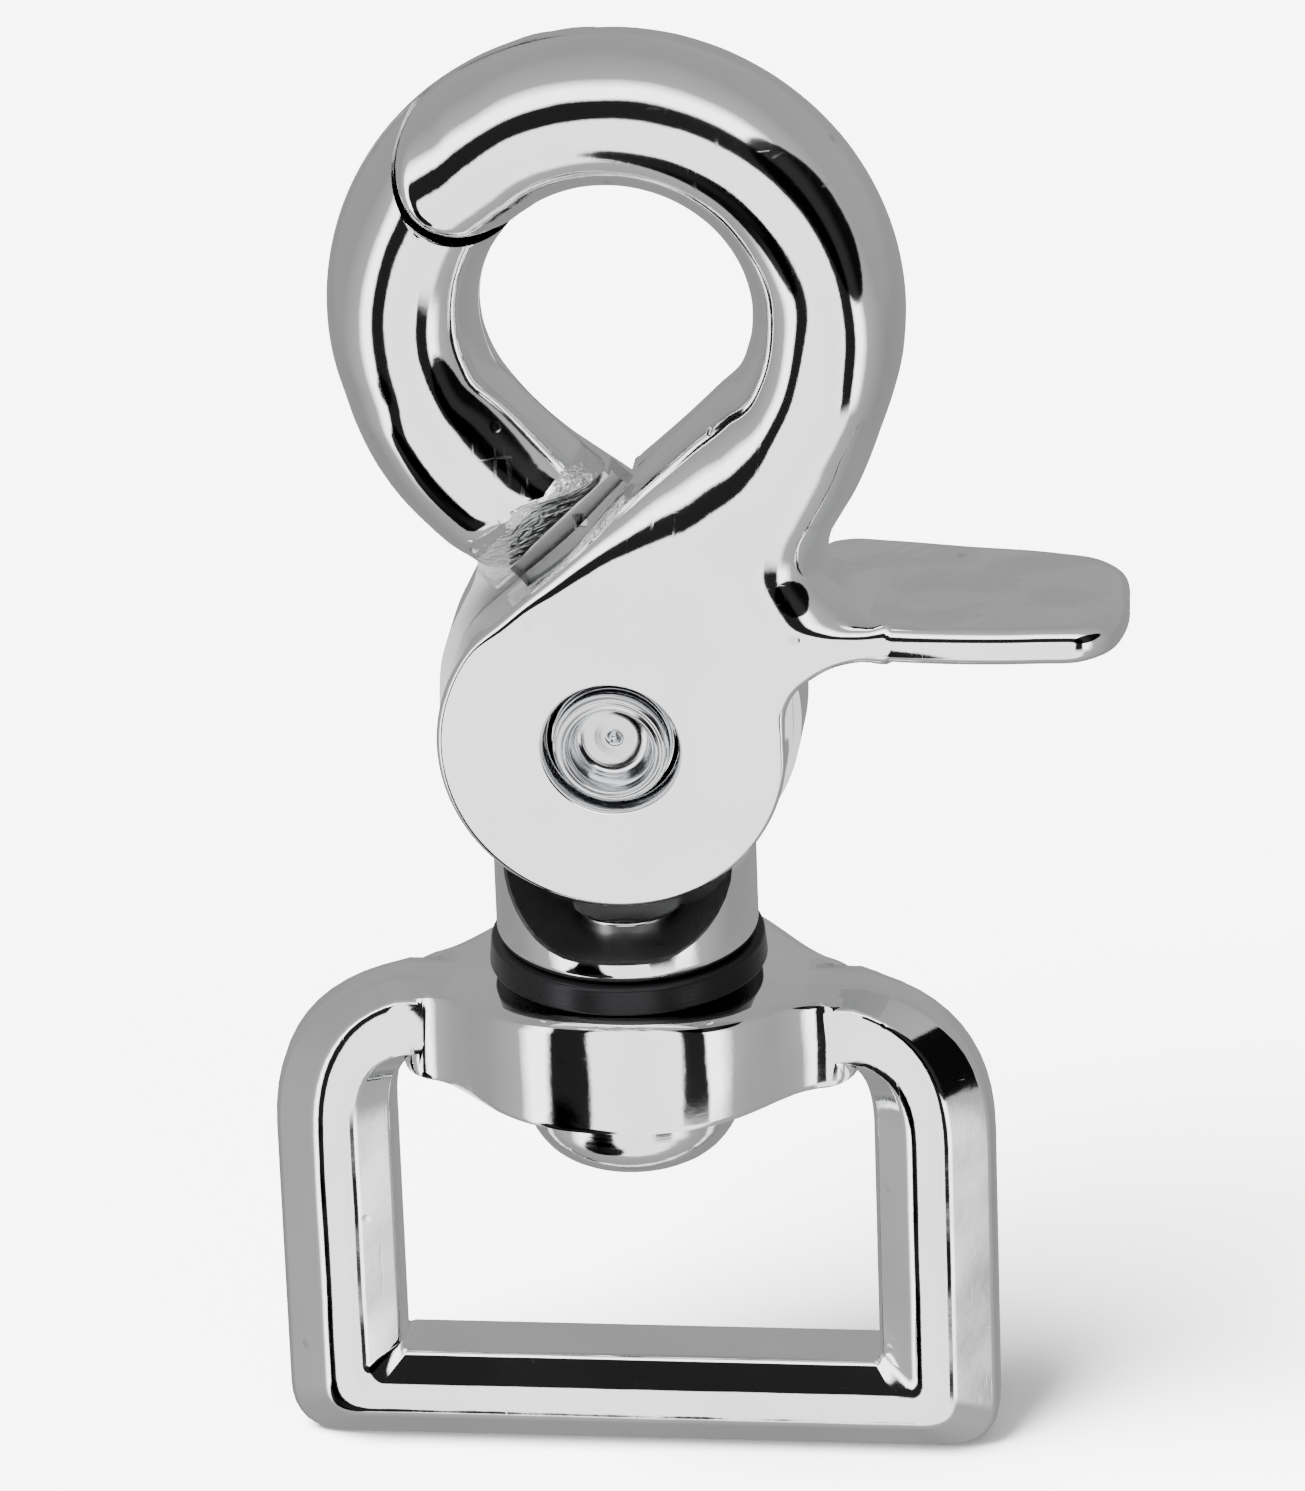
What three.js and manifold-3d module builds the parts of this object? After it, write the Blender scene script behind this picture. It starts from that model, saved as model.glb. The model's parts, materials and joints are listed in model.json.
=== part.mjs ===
// Scissor snap hook with a swivelling square strap eye.
//
// Two die-cast jaws cross on a rivet like a pair of scissors and a torsion spring
// between them keeps the ring of the hook shut. The thumb lever of the moving jaw
// opens it. Under the jaws a headed stud carries the strap eye, which turns freely.
//
// Millimetres, +Z up towards the hook, -Y is the front. The assembly is drawn with
// the pivot at height 0 and the swivel axis on the Z axis, then lowered so that the
// origin lies at the load seat, the top of the hook's opening.

import * as THREE from 'three';
import { mergeVertices } from 'three/addons/utils/BufferGeometryUtils.js';
import Module from 'manifold-3d';

const wasm = await Module();
wasm.setup();

// ---- Driving dimensions ----------------------------------------------------

const GAP = 0.3;                     // clearance between neighbouring pieces

// Jaws: both are cast to the same depth and meet on the plane Y = 0.
const JAW_HALF_DEPTH = 4.5;
const JAW_EDGE = 0.7;                // rounding of the plates' long edges
const PIVOT_X = 0;                   // pivot axis, parallel to Y, through the swivel axis
const MOVING_DISC_R = 9.3;
const FIXED_DISC_R = 9.7;

// Ring of the hook, a thick bar bent to a circle.
const RING_X = 0.6;
const RING_Z = 23.5;
const RING_INNER = 7.2;
const RING_OUTER = 15.2;
const RING_CREST = 1.0;              // half-width of the flat crest along the bar
const NOSE_ANGLE = 128;              // degrees round the ring, centre of the moving nose
const NOSE_R = 4.0;
const FIXED_TIP_ANGLE = 81;          // end of the fixed jaw's half-lap behind the nose
const FIXED_ROOT_ANGLE = 245;
const MOVING_ROOT_ANGLE = -38;

// Thumb lever, a flat tongue that stands out to the right.
const LEVER_TOP = 7.2;
const LEVER_BOTTOM = 5.1;
const LEVER_TIP_X = 27.2;
const LEVER_BACK_ROOT = 7.8;
const LEVER_BACK_TIP = 6.2;
const LEVER_EDGE = 0.9;

// Neck of the fixed jaw and the swivel below it.
const NECK_R = 7.05;
const NECK_BOTTOM = -12.7;
const NECK_LEDGE = -10.6;            // floor of the recess in front of the fixed disc
const NECK_HORN_TOP = -7.3;
const NECK_RECESS_HALF = 5.9;
const WASHER_R = 7.6;
const WASHER_T = 1.0;
const STUD_R = 3.0;
const STUD_HEAD_R = 5.8;
const STUD_HEAD_BOTTOM = -26;

// Strap eye.
const EYE_TOP = NECK_BOTTOM - WASHER_T - 2 * GAP;
const EYE_BOTTOM = -43.6;
const EYE_HALF_WIDTH = 19.6;
const EYE_HALF_DEPTH = 2.85;
const EYE_CHAMFER = 1.7;
const SLOT_HALF_WIDTH = 13.1;        // takes a 25 mm strap
const SLOT_TOP = -19.5;
const SLOT_BOTTOM = -37.9;
const HUB_HALF_DEPTH = 8.7;
const HUB_HALF_LENGTH = 11.3;
const HUB_BOTTOM = -21.1;

// Pivot rivet and torsion spring.
const RIVET_R = 2.5;
const RIVET_RIM_R = 3.05;
const RIVET_RIM_FACE = -4.4;
const RIVET_HOLLOW_R = 2.2;
const RIVET_HEAD_R = 3.6;
const SINK_R = 3.75;
const SPRING_POCKET_R = 6.2;
const SPRING_POCKET_DEPTH = 2.0;
const SPRING_COIL_R = 4.4;
const SPRING_WIRE_R = 0.5;
const SPRING_TURNS = 2.3;
const SPRING_HALF_LENGTH = 1.2;
const MOVING_LEG_ANGLE = 60;
const FIXED_LEG_ANGLE = 100;
const LEG_SLOT_WIDTH = 1.9;

const HOOK_SEAT_Z = RING_Z + RING_INNER;

// ---- Finishes ---------------------------------------------------------------

const plated = (tone) => new THREE.MeshStandardMaterial({
  color: tone,
  roughness: 0.12,
  metalness: 1,
});
const darkSteel = new THREE.MeshStandardMaterial({
  color: 0x222326,
  roughness: 0.45,
  metalness: 0.8,
});
const springSteel = new THREE.MeshStandardMaterial({
  color: 0x8b8c8e,
  roughness: 0.35,
  metalness: 1,
});

// ---- Helpers ------------------------------------------------------------------

const radians = (degrees) => degrees * Math.PI / 180;

/** Point on a circle of radius r about (x, z), at an angle in degrees. */
function polar(x, z, r, degrees) {
  const a = radians(degrees);
  return new THREE.Vector2(x + r * Math.cos(a), z + r * Math.sin(a));
}

/** A closed three.js geometry as a solid that can be joined and cut. */
function solid(geometry) {
  const bare = geometry.clone();
  bare.deleteAttribute('normal');
  bare.deleteAttribute('uv');
  const merged = mergeVertices(bare, 1e-4);
  const corners = merged.index.array;
  const kept = [];
  for (let i = 0; i < corners.length; i += 3) {
    const [a, b, c] = [corners[i], corners[i + 1], corners[i + 2]];
    if (a !== b && b !== c && c !== a) kept.push(a, b, c);
  }
  return new wasm.Manifold(new wasm.Mesh({
    numProp: 3,
    vertProperties: new Float32Array(merged.attributes.position.array),
    triVerts: new Uint32Array(kept),
  }));
}

/** A named mesh made from a finished solid. */
function part(name, body, material) {
  const { vertProperties, triVerts } = body.getMesh();
  const geometry = new THREE.BufferGeometry();
  geometry.setAttribute('position', new THREE.BufferAttribute(vertProperties, 3));
  geometry.setIndex(new THREE.BufferAttribute(triVerts, 1));
  geometry.computeVertexNormals();
  const mesh = new THREE.Mesh(geometry, material);
  mesh.name = name;
  return mesh;
}

/** Plate with an outline in the XZ plane, from yFront to yBack, its edges eased. */
function plate(outline, yFront, yBack, edge = 0, edgeSteps = 2) {
  const geometry = new THREE.ExtrudeGeometry(outline, {
    depth: yBack - yFront - 2 * edge,
    bevelEnabled: edge > 0,
    bevelThickness: edge,
    bevelSize: edge,
    bevelOffset: -edge,
    bevelSegments: edgeSteps,
    curveSegments: 18,
  });
  geometry.rotateX(Math.PI / 2);
  geometry.translate(0, yBack - edge, 0);
  return solid(geometry);
}

/** Plate with an outline in the XY plane, from zLow to zHigh, its edges eased. */
function slab(outline, zLow, zHigh, edge = 0) {
  const geometry = new THREE.ExtrudeGeometry(outline, {
    depth: zHigh - zLow - 2 * edge,
    bevelEnabled: edge > 0,
    bevelThickness: edge,
    bevelSize: edge,
    bevelOffset: -edge,
    bevelSegments: 3,
    curveSegments: 12,
  });
  geometry.translate(0, 0, zLow + edge);
  return solid(geometry);
}

/** Solid turned about an axis parallel to Y, from [radius, y] pairs. */
function turnedY(profile, x, z, segments = 48) {
  const points = profile.map(([r, y]) => new THREE.Vector2(r, y));
  const geometry = new THREE.LatheGeometry(points, segments);
  geometry.translate(x, 0, z);
  return solid(geometry);
}

/** Solid turned about the Z axis, from [radius, z] pairs. */
function turnedZ(profile, segments = 48) {
  const points = profile.map(([r, z]) => new THREE.Vector2(r, z));
  const geometry = new THREE.LatheGeometry(points, segments);
  geometry.rotateX(Math.PI / 2);
  return solid(geometry);
}

/** Round plug about the pivot axis. */
function pivotPlug(r, yFront, yBack, segments = 48) {
  return turnedY([[0, yFront], [r, yFront], [r, yBack], [0, yBack]], PIVOT_X, 0, segments);
}

/** Outline through a list of [x, z] corners. */
function outlineOf(corners) {
  return new THREE.Shape(corners.map(([x, z]) => new THREE.Vector2(x, z)));
}

/** Pie-slice outline about the ring's centre, between two angles in degrees. */
function ringSlice(from, to) {
  const reach = RING_OUTER + 4;
  const shape = new THREE.Shape();
  shape.moveTo(RING_X, RING_Z);
  const start = polar(RING_X, RING_Z, reach, from);
  shape.lineTo(start.x, start.y);
  shape.absarc(RING_X, RING_Z, reach, radians(from), radians(to), false);
  shape.closePath();
  return shape;
}

/** Round outline about a point. */
function disc(x, z, r) {
  const shape = new THREE.Shape();
  shape.absarc(x, z, r, 0, 2 * Math.PI, false);
  return shape;
}

/** Rectangular cutter that leaves the pivot in a given direction, between two depths. */
function legSlot(degrees, reach, yFront, yBack) {
  const half = LEG_SLOT_WIDTH / 2;
  const geometry = new THREE.BoxGeometry(reach, yBack - yFront, 2 * half);
  geometry.translate(reach / 2, (yFront + yBack) / 2, 0);
  geometry.rotateY(-radians(degrees));
  geometry.translate(PIVOT_X, 0, 0);
  return solid(geometry);
}

// ---- Ring of the hook ---------------------------------------------------------

/** The whole ring, before it is shared out between the two jaws. */
function fullRing() {
  const middle = (RING_INNER + RING_OUTER) / 2;
  const side = (RING_OUTER - RING_INNER) / 2 - RING_CREST;
  const steps = 6;
  const profile = [];
  for (let quarter = 0; quarter < 4; quarter += 1) {
    const shift = quarter === 0 || quarter === 3 ? RING_CREST : -RING_CREST;
    for (let i = 0; i <= steps; i += 1) {
      const a = radians(90 * (quarter + i / steps));
      profile.push([middle + shift + side * Math.cos(a), JAW_HALF_DEPTH * Math.sin(a)]);
    }
  }
  return turnedY(profile, RING_X, RING_Z, 72);
}

/** Prism of the moving nose, grown by a clearance. */
function nosePrism(grow, yFront, yBack) {
  const middle = (RING_INNER + RING_OUTER) / 2;
  const centre = polar(RING_X, RING_Z, middle, NOSE_ANGLE);
  return plate(disc(centre.x, centre.y, NOSE_R + grow), yFront, yBack);
}

// ---- Moving jaw ------------------------------------------------------------------

/** Flat neck between the ring and the pivot disc, with the foot of the lever. */
function movingNeck() {
  const tangent = MOVING_DISC_R / Math.SQRT2;
  const shape = new THREE.Shape();
  shape.moveTo(PIVOT_X - tangent, tangent);
  shape.lineTo(PIVOT_X - 4, -2);
  shape.lineTo(PIVOT_X + 6, -2);
  shape.lineTo(8.8, 2.4);
  shape.quadraticCurveTo(10, 5, 13.3, LEVER_BOTTOM + 0.2);
  shape.lineTo(13.3, LEVER_TOP - 0.2);
  shape.quadraticCurveTo(11.2, LEVER_TOP, 11.5, 10.6);
  shape.quadraticCurveTo(13.9, 14.6, 15.2, 20);
  shape.lineTo(10.9, 22);
  shape.lineTo(5.6, 5.6 - PIVOT_X + MOVING_DISC_R * Math.SQRT2);
  shape.closePath();
  return plate(shape, -JAW_HALF_DEPTH, JAW_HALF_DEPTH, JAW_EDGE);
}

/** Tongue for the thumb, flush in front and standing out behind. */
function thumbLever() {
  const front = -JAW_HALF_DEPTH;
  const shape = new THREE.Shape();
  shape.moveTo(9.8, front);
  shape.lineTo(LEVER_TIP_X - 4.4, front);
  shape.quadraticCurveTo(LEVER_TIP_X - 0.2, front, LEVER_TIP_X, -0.3);
  shape.lineTo(LEVER_TIP_X - 0.1, 3);
  shape.quadraticCurveTo(LEVER_TIP_X - 0.5, LEVER_BACK_TIP, LEVER_TIP_X - 4, LEVER_BACK_TIP);
  shape.lineTo(12.6, LEVER_BACK_ROOT);
  shape.quadraticCurveTo(10.4, LEVER_BACK_ROOT, 10.2, 5.5);
  shape.closePath();
  return slab(shape, LEVER_BOTTOM, LEVER_TOP, LEVER_EDGE);
}

/** Everything that the fixed jaw occupies behind the moving jaw, with clearance. */
function movingRearRelief() {
  const front = -GAP / 2;
  const back = JAW_HALF_DEPTH + 1;
  const far = FIXED_DISC_R * Math.SQRT2 + PIVOT_X + GAP * Math.SQRT2;
  const crossing = outlineOf([
    [PIVOT_X - 20, -12], [far + 8, -12], [far + 4, -4], [far - 6.9, 6.9],
    [far - 18.6, 18.6], [-20, 18.6],
  ]);
  const clearDisc = pivotPlug(FIXED_DISC_R + GAP, front, back, 64);
  const lap = plate(ringSlice(FIXED_TIP_ANGLE - 3, 240), front, back);
  return plate(crossing, front, back).subtract(leverKeep(front, back)).add(clearDisc).add(lap);
}

/** The stretch outside the fixed disc that the moving jaw keeps at full depth. */
function leverKeep(front, back) {
  const keep = outlineOf([[10.2, -14], [30, -14], [30, 12], [8, 12], [10.2, 3]]);
  return plate(keep, front - 1, back + 1);
}

function movingJaw() {
  const nose = nosePrism(0, -JAW_HALF_DEPTH - 1, JAW_HALF_DEPTH + 1);
  const slice = plate(ringSlice(MOVING_ROOT_ANGLE, NOSE_ANGLE), -6, 6).add(nose);
  const frontDisc = turnedY([
    [0, -JAW_HALF_DEPTH], [MOVING_DISC_R - JAW_EDGE, -JAW_HALF_DEPTH],
    [MOVING_DISC_R - 0.2, -JAW_HALF_DEPTH + 0.2], [MOVING_DISC_R, -JAW_HALF_DEPTH + JAW_EDGE],
    [MOVING_DISC_R, -GAP / 2], [0, -GAP / 2],
  ], PIVOT_X, 0, 64);
  const rivetSink = turnedY([
    [0, -JAW_HALF_DEPTH - 1], [SINK_R, -JAW_HALF_DEPTH - 1], [SINK_R, -JAW_HALF_DEPTH],
    [RIVET_RIM_R + GAP, -3.5], [RIVET_R + GAP, -3.2], [RIVET_R + GAP, 1], [0, 1],
  ], PIVOT_X, 0);
  return fullRing().intersect(slice)
    .add(movingNeck())
    .subtract(movingRearRelief())
    .add(frontDisc)
    .add(thumbLever())
    .subtract(rivetSink)
    .subtract(pivotPlug(SPRING_POCKET_R, -SPRING_POCKET_DEPTH, 1))
    .subtract(legSlot(MOVING_LEG_ANGLE, 9.4, -SPRING_POCKET_DEPTH, 0));
}

// ---- Fixed jaw ---------------------------------------------------------------------

/** Web from the foot of the ring to the rear pivot disc. */
function fixedWeb() {
  const tangent = FIXED_DISC_R / Math.SQRT2;
  const shape = new THREE.Shape();
  shape.moveTo(PIVOT_X - FIXED_DISC_R + 0.1, 0);
  shape.lineTo(PIVOT_X, -4);
  shape.lineTo(PIVOT_X + tangent, tangent);
  shape.lineTo(-4.2, 18.6);
  shape.lineTo(-11.4, 19.6);
  shape.lineTo(-13.3, 17.2);
  shape.quadraticCurveTo(-12, 12.8, -9.3, 10.8);
  shape.lineTo(-7, 9.2);
  shape.quadraticCurveTo(-9.7, 5.4, PIVOT_X - FIXED_DISC_R + 0.1, 0);
  return plate(shape, -JAW_HALF_DEPTH, JAW_HALF_DEPTH, JAW_EDGE);
}

/** Everything in front of the seam that the moving jaw needs, with clearance. */
function fixedFrontRelief() {
  const front = -JAW_HALF_DEPTH - 3;
  const back = GAP / 2;
  const shoulder = outlineOf([
    [-16, 3.6], [-16, -9.5], [14, -9.5], [14, 22], [0.2, 15.4], [-7.6, 8.6],
  ]);
  const lap = ringSlice(FIXED_TIP_ANGLE - 20, NOSE_ANGLE);
  return plate(shoulder, front, back)
    .add(plate(lap, front, back))
    .add(nosePrism(GAP, front, back))
    .add(pivotPlug(MOVING_DISC_R + GAP, front, back, 64));
}

/** Round neck that the disc stands on, hollowed in front so that the other disc clears it. */
function neck() {
  const collar = turnedZ([
    [0, NECK_BOTTOM], [NECK_R - 0.5, NECK_BOTTOM], [NECK_R, NECK_BOTTOM + 0.5],
    [NECK_R, NECK_HORN_TOP], [0, NECK_HORN_TOP],
  ]);
  const behind = outlineOf([[-8, NECK_LEDGE], [8, NECK_LEDGE], [8, 0], [-8, 0]]);
  const half = NECK_RECESS_HALF;
  const recess = new THREE.Shape();
  recess.moveTo(-half, 0);
  recess.lineTo(-half, NECK_LEDGE + 1.2);
  recess.quadraticCurveTo(-half, NECK_LEDGE, -half + 1.2, NECK_LEDGE);
  recess.lineTo(half - 1.2, NECK_LEDGE);
  recess.quadraticCurveTo(half, NECK_LEDGE, half, NECK_LEDGE + 1.2);
  recess.lineTo(half, 0);
  recess.closePath();
  return collar
    .subtract(plate(behind, JAW_HALF_DEPTH, NECK_R + 1))
    .subtract(plate(recess, -NECK_R - 1, GAP / 2));
}

/** Square recess beside the crossing where the spring's fixed leg bears. */
function springRecess() {
  const geometry = new THREE.BoxGeometry(8.1, SPRING_POCKET_DEPTH + 0.2, 2.3);
  geometry.rotateY(-radians(45));
  geometry.translate(-1.9, SPRING_POCKET_DEPTH / 2, 10.4);
  return solid(geometry);
}

function fixedJaw() {
  const slice = plate(ringSlice(FIXED_TIP_ANGLE, FIXED_ROOT_ANGLE), -6, 6);
  const rearDisc = turnedY([
    [0, GAP / 2], [FIXED_DISC_R, GAP / 2], [FIXED_DISC_R, JAW_HALF_DEPTH - JAW_EDGE],
    [FIXED_DISC_R - 0.2, JAW_HALF_DEPTH - 0.2], [FIXED_DISC_R - JAW_EDGE, JAW_HALF_DEPTH],
    [0, JAW_HALF_DEPTH],
  ], PIVOT_X, 0, 64);
  const rivetHole = turnedY([
    [0, -1], [RIVET_R + GAP, -1], [RIVET_R + GAP, 3.6], [RIVET_HEAD_R + GAP, 3.6],
    [RIVET_HEAD_R + GAP, 6], [0, 6],
  ], PIVOT_X, 0);
  const studHole = turnedZ([
    [0, NECK_BOTTOM - 1], [STUD_R + GAP, NECK_BOTTOM - 1],
    [STUD_R + GAP, NECK_LEDGE + GAP], [0, NECK_LEDGE + GAP],
  ], 32);
  return fullRing().intersect(slice)
    .add(fixedWeb())
    .subtract(fixedFrontRelief())
    .add(rearDisc)
    .add(neck().subtract(pivotPlug(MOVING_DISC_R + GAP, -9, GAP / 2, 64)))
    .subtract(rivetHole)
    .subtract(studHole)
    .subtract(pivotPlug(SPRING_POCKET_R, -1, SPRING_POCKET_DEPTH))
    .subtract(legSlot(FIXED_LEG_ANGLE, 12.4, 0, SPRING_POCKET_DEPTH))
    .subtract(springRecess());
}

// ---- Small parts ----------------------------------------------------------------------

/** Semi-tubular rivet: rolled rim in front, blind hollow, low head behind. */
function pivotRivet() {
  return turnedY([
    [0, -2.3], [0.5, -2.5], [RIVET_HOLLOW_R - 0.2, -2.5], [RIVET_HOLLOW_R, -4.0],
    [2.45, RIVET_RIM_FACE], [RIVET_RIM_R - 0.2, RIVET_RIM_FACE], [RIVET_RIM_R, -4.15],
    [RIVET_RIM_R, -3.85], [RIVET_R, -3.3], [RIVET_R, 3.9], [RIVET_HEAD_R, 3.9],
    [RIVET_HEAD_R, 4.5], [RIVET_HEAD_R - 0.4, 4.8], [1.8, 5.0], [0, 5.05],
  ], PIVOT_X, 0, 40);
}

/** Torsion spring round the rivet, a leg in each jaw. */
function torsionSpring() {
  const points = [];
  const at = (r, degrees, y) => {
    const p = polar(PIVOT_X, 0, r, degrees);
    return new THREE.Vector3(p.x, y, p.y);
  };
  const sweep = 360 * SPRING_TURNS;
  const startAngle = MOVING_LEG_ANGLE - 8;
  const turn = FIXED_LEG_ANGLE + 8 - startAngle + 720;
  const steps = Math.round(sweep / 15);
  points.push(at(8.4, MOVING_LEG_ANGLE, -SPRING_HALF_LENGTH));
  points.push(at(6.6, MOVING_LEG_ANGLE, -SPRING_HALF_LENGTH));
  for (let i = 0; i <= steps; i += 1) {
    const t = i / steps;
    const y = -SPRING_HALF_LENGTH + 2 * SPRING_HALF_LENGTH * t;
    points.push(at(SPRING_COIL_R, startAngle + 12 + t * (turn - 24), y));
  }
  points.push(at(6.6, FIXED_LEG_ANGLE, SPRING_HALF_LENGTH));
  points.push(at(11.4, FIXED_LEG_ANGLE, SPRING_HALF_LENGTH));
  const path = new THREE.CatmullRomCurve3(points, false, 'centripetal');
  const section = new THREE.Shape();
  section.absarc(0, 0, SPRING_WIRE_R, 0, 2 * Math.PI, false);
  return solid(new THREE.ExtrudeGeometry(section, {
    steps: 130,
    bevelEnabled: false,
    extrudePath: path,
    curveSegments: 4,
  }));
}

/** Stud: shank pressed into the neck, button head under the eye. */
function swivelStud() {
  const headTop = HUB_BOTTOM - GAP;
  return turnedZ([
    [0, STUD_HEAD_BOTTOM], [2.4, STUD_HEAD_BOTTOM + 0.15], [4.4, STUD_HEAD_BOTTOM + 0.9],
    [5.4, STUD_HEAD_BOTTOM + 1.6], [STUD_HEAD_R, STUD_HEAD_BOTTOM + 2.3],
    [STUD_HEAD_R, headTop], [STUD_R, headTop], [STUD_R, NECK_LEDGE], [0, NECK_LEDGE],
  ], 40);
}

/** Dark bearing washer between the neck and the eye. */
function swivelWasher() {
  const top = NECK_BOTTOM - GAP;
  const bottom = top - WASHER_T;
  const bore = STUD_R + GAP;
  return turnedZ([
    [bore, bottom], [WASHER_R - 0.2, bottom], [WASHER_R, bottom + 0.2],
    [WASHER_R, top - 0.2], [WASHER_R - 0.2, top], [bore, top], [bore, bottom],
  ]);
}

// ---- Strap eye ------------------------------------------------------------------------

/** Square frame of chamfered bar, open in the middle for the strap. */
function eyeFrame() {
  const w = EYE_HALF_WIDTH;
  const outer = new THREE.Shape();
  const foot = 3;
  outer.moveTo(-w + foot, EYE_BOTTOM);
  outer.lineTo(w - foot, EYE_BOTTOM);
  outer.quadraticCurveTo(w, EYE_BOTTOM, w, EYE_BOTTOM + foot);
  outer.lineTo(w, -24);
  outer.quadraticCurveTo(w, -17.6, 13.2, EYE_TOP - 1.6);
  outer.lineTo(9, EYE_TOP - 0.9);
  outer.lineTo(-9, EYE_TOP - 0.9);
  outer.lineTo(-13.2, EYE_TOP - 1.6);
  outer.quadraticCurveTo(-w, -17.6, -w, -24);
  outer.lineTo(-w, EYE_BOTTOM + foot);
  outer.quadraticCurveTo(-w, EYE_BOTTOM, -w + foot, EYE_BOTTOM);
  const s = SLOT_HALF_WIDTH;
  const r = 2.4;
  const slot = new THREE.Path();
  slot.moveTo(-s, SLOT_BOTTOM);
  slot.lineTo(-s, SLOT_TOP - r);
  slot.quadraticCurveTo(-s, SLOT_TOP, -s + r, SLOT_TOP);
  slot.lineTo(s - r, SLOT_TOP);
  slot.quadraticCurveTo(s, SLOT_TOP, s, SLOT_TOP - r);
  slot.lineTo(s, SLOT_BOTTOM);
  slot.closePath();
  outer.holes.push(slot);
  return plate(outer, -EYE_HALF_DEPTH, EYE_HALF_DEPTH, EYE_CHAMFER, 1);
}

/** Hub, bulging in front and behind round the stud and flaring out to the bars. */
function eyeHub() {
  const tip = EYE_HALF_DEPTH;
  const plan = new THREE.Shape();
  plan.moveTo(-HUB_HALF_LENGTH, -tip);
  plan.quadraticCurveTo(-7, -4.4, -4.8, -7.3);
  plan.quadraticCurveTo(0, -2 * HUB_HALF_DEPTH + 7.3, 4.8, -7.3);
  plan.quadraticCurveTo(7, -4.4, HUB_HALF_LENGTH, -tip);
  plan.lineTo(HUB_HALF_LENGTH, tip);
  plan.quadraticCurveTo(7, 4.4, 4.8, 7.3);
  plan.quadraticCurveTo(0, 2 * HUB_HALF_DEPTH - 7.3, -4.8, 7.3);
  plan.quadraticCurveTo(-7, 4.4, -HUB_HALF_LENGTH, tip);
  const face = new THREE.Shape();
  face.moveTo(-HUB_HALF_LENGTH - 1, SLOT_TOP + 0.4);
  face.quadraticCurveTo(-9, HUB_BOTTOM, -5, HUB_BOTTOM);
  face.lineTo(5, HUB_BOTTOM);
  face.quadraticCurveTo(9, HUB_BOTTOM, HUB_HALF_LENGTH + 1, SLOT_TOP + 0.4);
  face.lineTo(HUB_HALF_LENGTH + 1, EYE_TOP - 1.2);
  face.lineTo(7.6, EYE_TOP);
  face.lineTo(-7.6, EYE_TOP);
  face.lineTo(-HUB_HALF_LENGTH - 1, EYE_TOP - 1.2);
  face.closePath();
  return slab(plan, HUB_BOTTOM - 1, EYE_TOP + 1)
    .intersect(plate(face, -HUB_HALF_DEPTH - 1, HUB_HALF_DEPTH + 1));
}

function strapEye() {
  const bore = turnedZ([
    [0, -30], [STUD_R + GAP, -30], [STUD_R + GAP, -10], [0, -10],
  ], 40);
  return eyeFrame().add(eyeHub()).subtract(bore);
}

// ---- Assembly ---------------------------------------------------------------------------

const snap = new THREE.Group();
snap.add(part('fixed_jaw', fixedJaw(), plated(0xc6c8cb)));
snap.add(part('moving_jaw', movingJaw(), plated(0xd2d4d6)));
snap.add(part('strap_eye', strapEye(), plated(0xcccdd0)));
snap.add(part('swivel_stud', swivelStud(), plated(0xbfc1c4)));
snap.add(part('swivel_washer', swivelWasher(), darkSteel));
snap.add(part('pivot_rivet', pivotRivet(), plated(0xd8dadc)));
snap.add(part('torsion_spring', torsionSpring(), springSteel));
snap.position.z = -HOOK_SEAT_Z;

const group = new THREE.Group();
group.add(snap);

export default group;
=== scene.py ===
"""Studio scene of a scissor snap hook with a swivelling square strap eye.

The two cast jaws, the strap eye and the small turned parts are built as finished meshes round
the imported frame. Shapes are drawn in millimetres about the pivot, X to the lever, Z to the hook
and Y out of the back, and are put into the frame in metres as each mesh is made.
"""

import json
import logging
import math
from dataclasses import dataclass, field, replace
from enum import Enum
from typing import Callable, Iterable, Sequence

import bmesh
import bpy
import numpy as np
from mathutils import Matrix, Vector


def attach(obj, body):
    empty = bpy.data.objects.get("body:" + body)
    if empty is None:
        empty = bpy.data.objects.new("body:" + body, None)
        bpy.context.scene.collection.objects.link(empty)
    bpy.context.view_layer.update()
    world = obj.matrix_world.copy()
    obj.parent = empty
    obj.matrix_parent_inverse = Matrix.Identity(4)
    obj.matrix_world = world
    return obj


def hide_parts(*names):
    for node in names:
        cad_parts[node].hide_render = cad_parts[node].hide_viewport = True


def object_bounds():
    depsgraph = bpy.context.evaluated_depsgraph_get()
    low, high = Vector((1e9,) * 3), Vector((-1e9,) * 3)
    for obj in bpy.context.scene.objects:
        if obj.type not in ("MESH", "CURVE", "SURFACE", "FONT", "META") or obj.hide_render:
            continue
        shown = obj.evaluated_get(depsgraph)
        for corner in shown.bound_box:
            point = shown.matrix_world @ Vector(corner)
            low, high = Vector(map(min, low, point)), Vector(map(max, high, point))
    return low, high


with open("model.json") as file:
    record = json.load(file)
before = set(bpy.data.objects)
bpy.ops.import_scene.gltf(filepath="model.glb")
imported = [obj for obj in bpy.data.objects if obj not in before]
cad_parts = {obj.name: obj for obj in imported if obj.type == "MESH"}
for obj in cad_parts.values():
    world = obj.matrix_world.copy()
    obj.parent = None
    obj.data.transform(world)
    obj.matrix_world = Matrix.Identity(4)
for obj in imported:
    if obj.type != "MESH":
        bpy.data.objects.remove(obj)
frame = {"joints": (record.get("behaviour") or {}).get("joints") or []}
CAD_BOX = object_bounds()

log = logging.getLogger("snap_hook")

MM = 0.001
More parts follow.
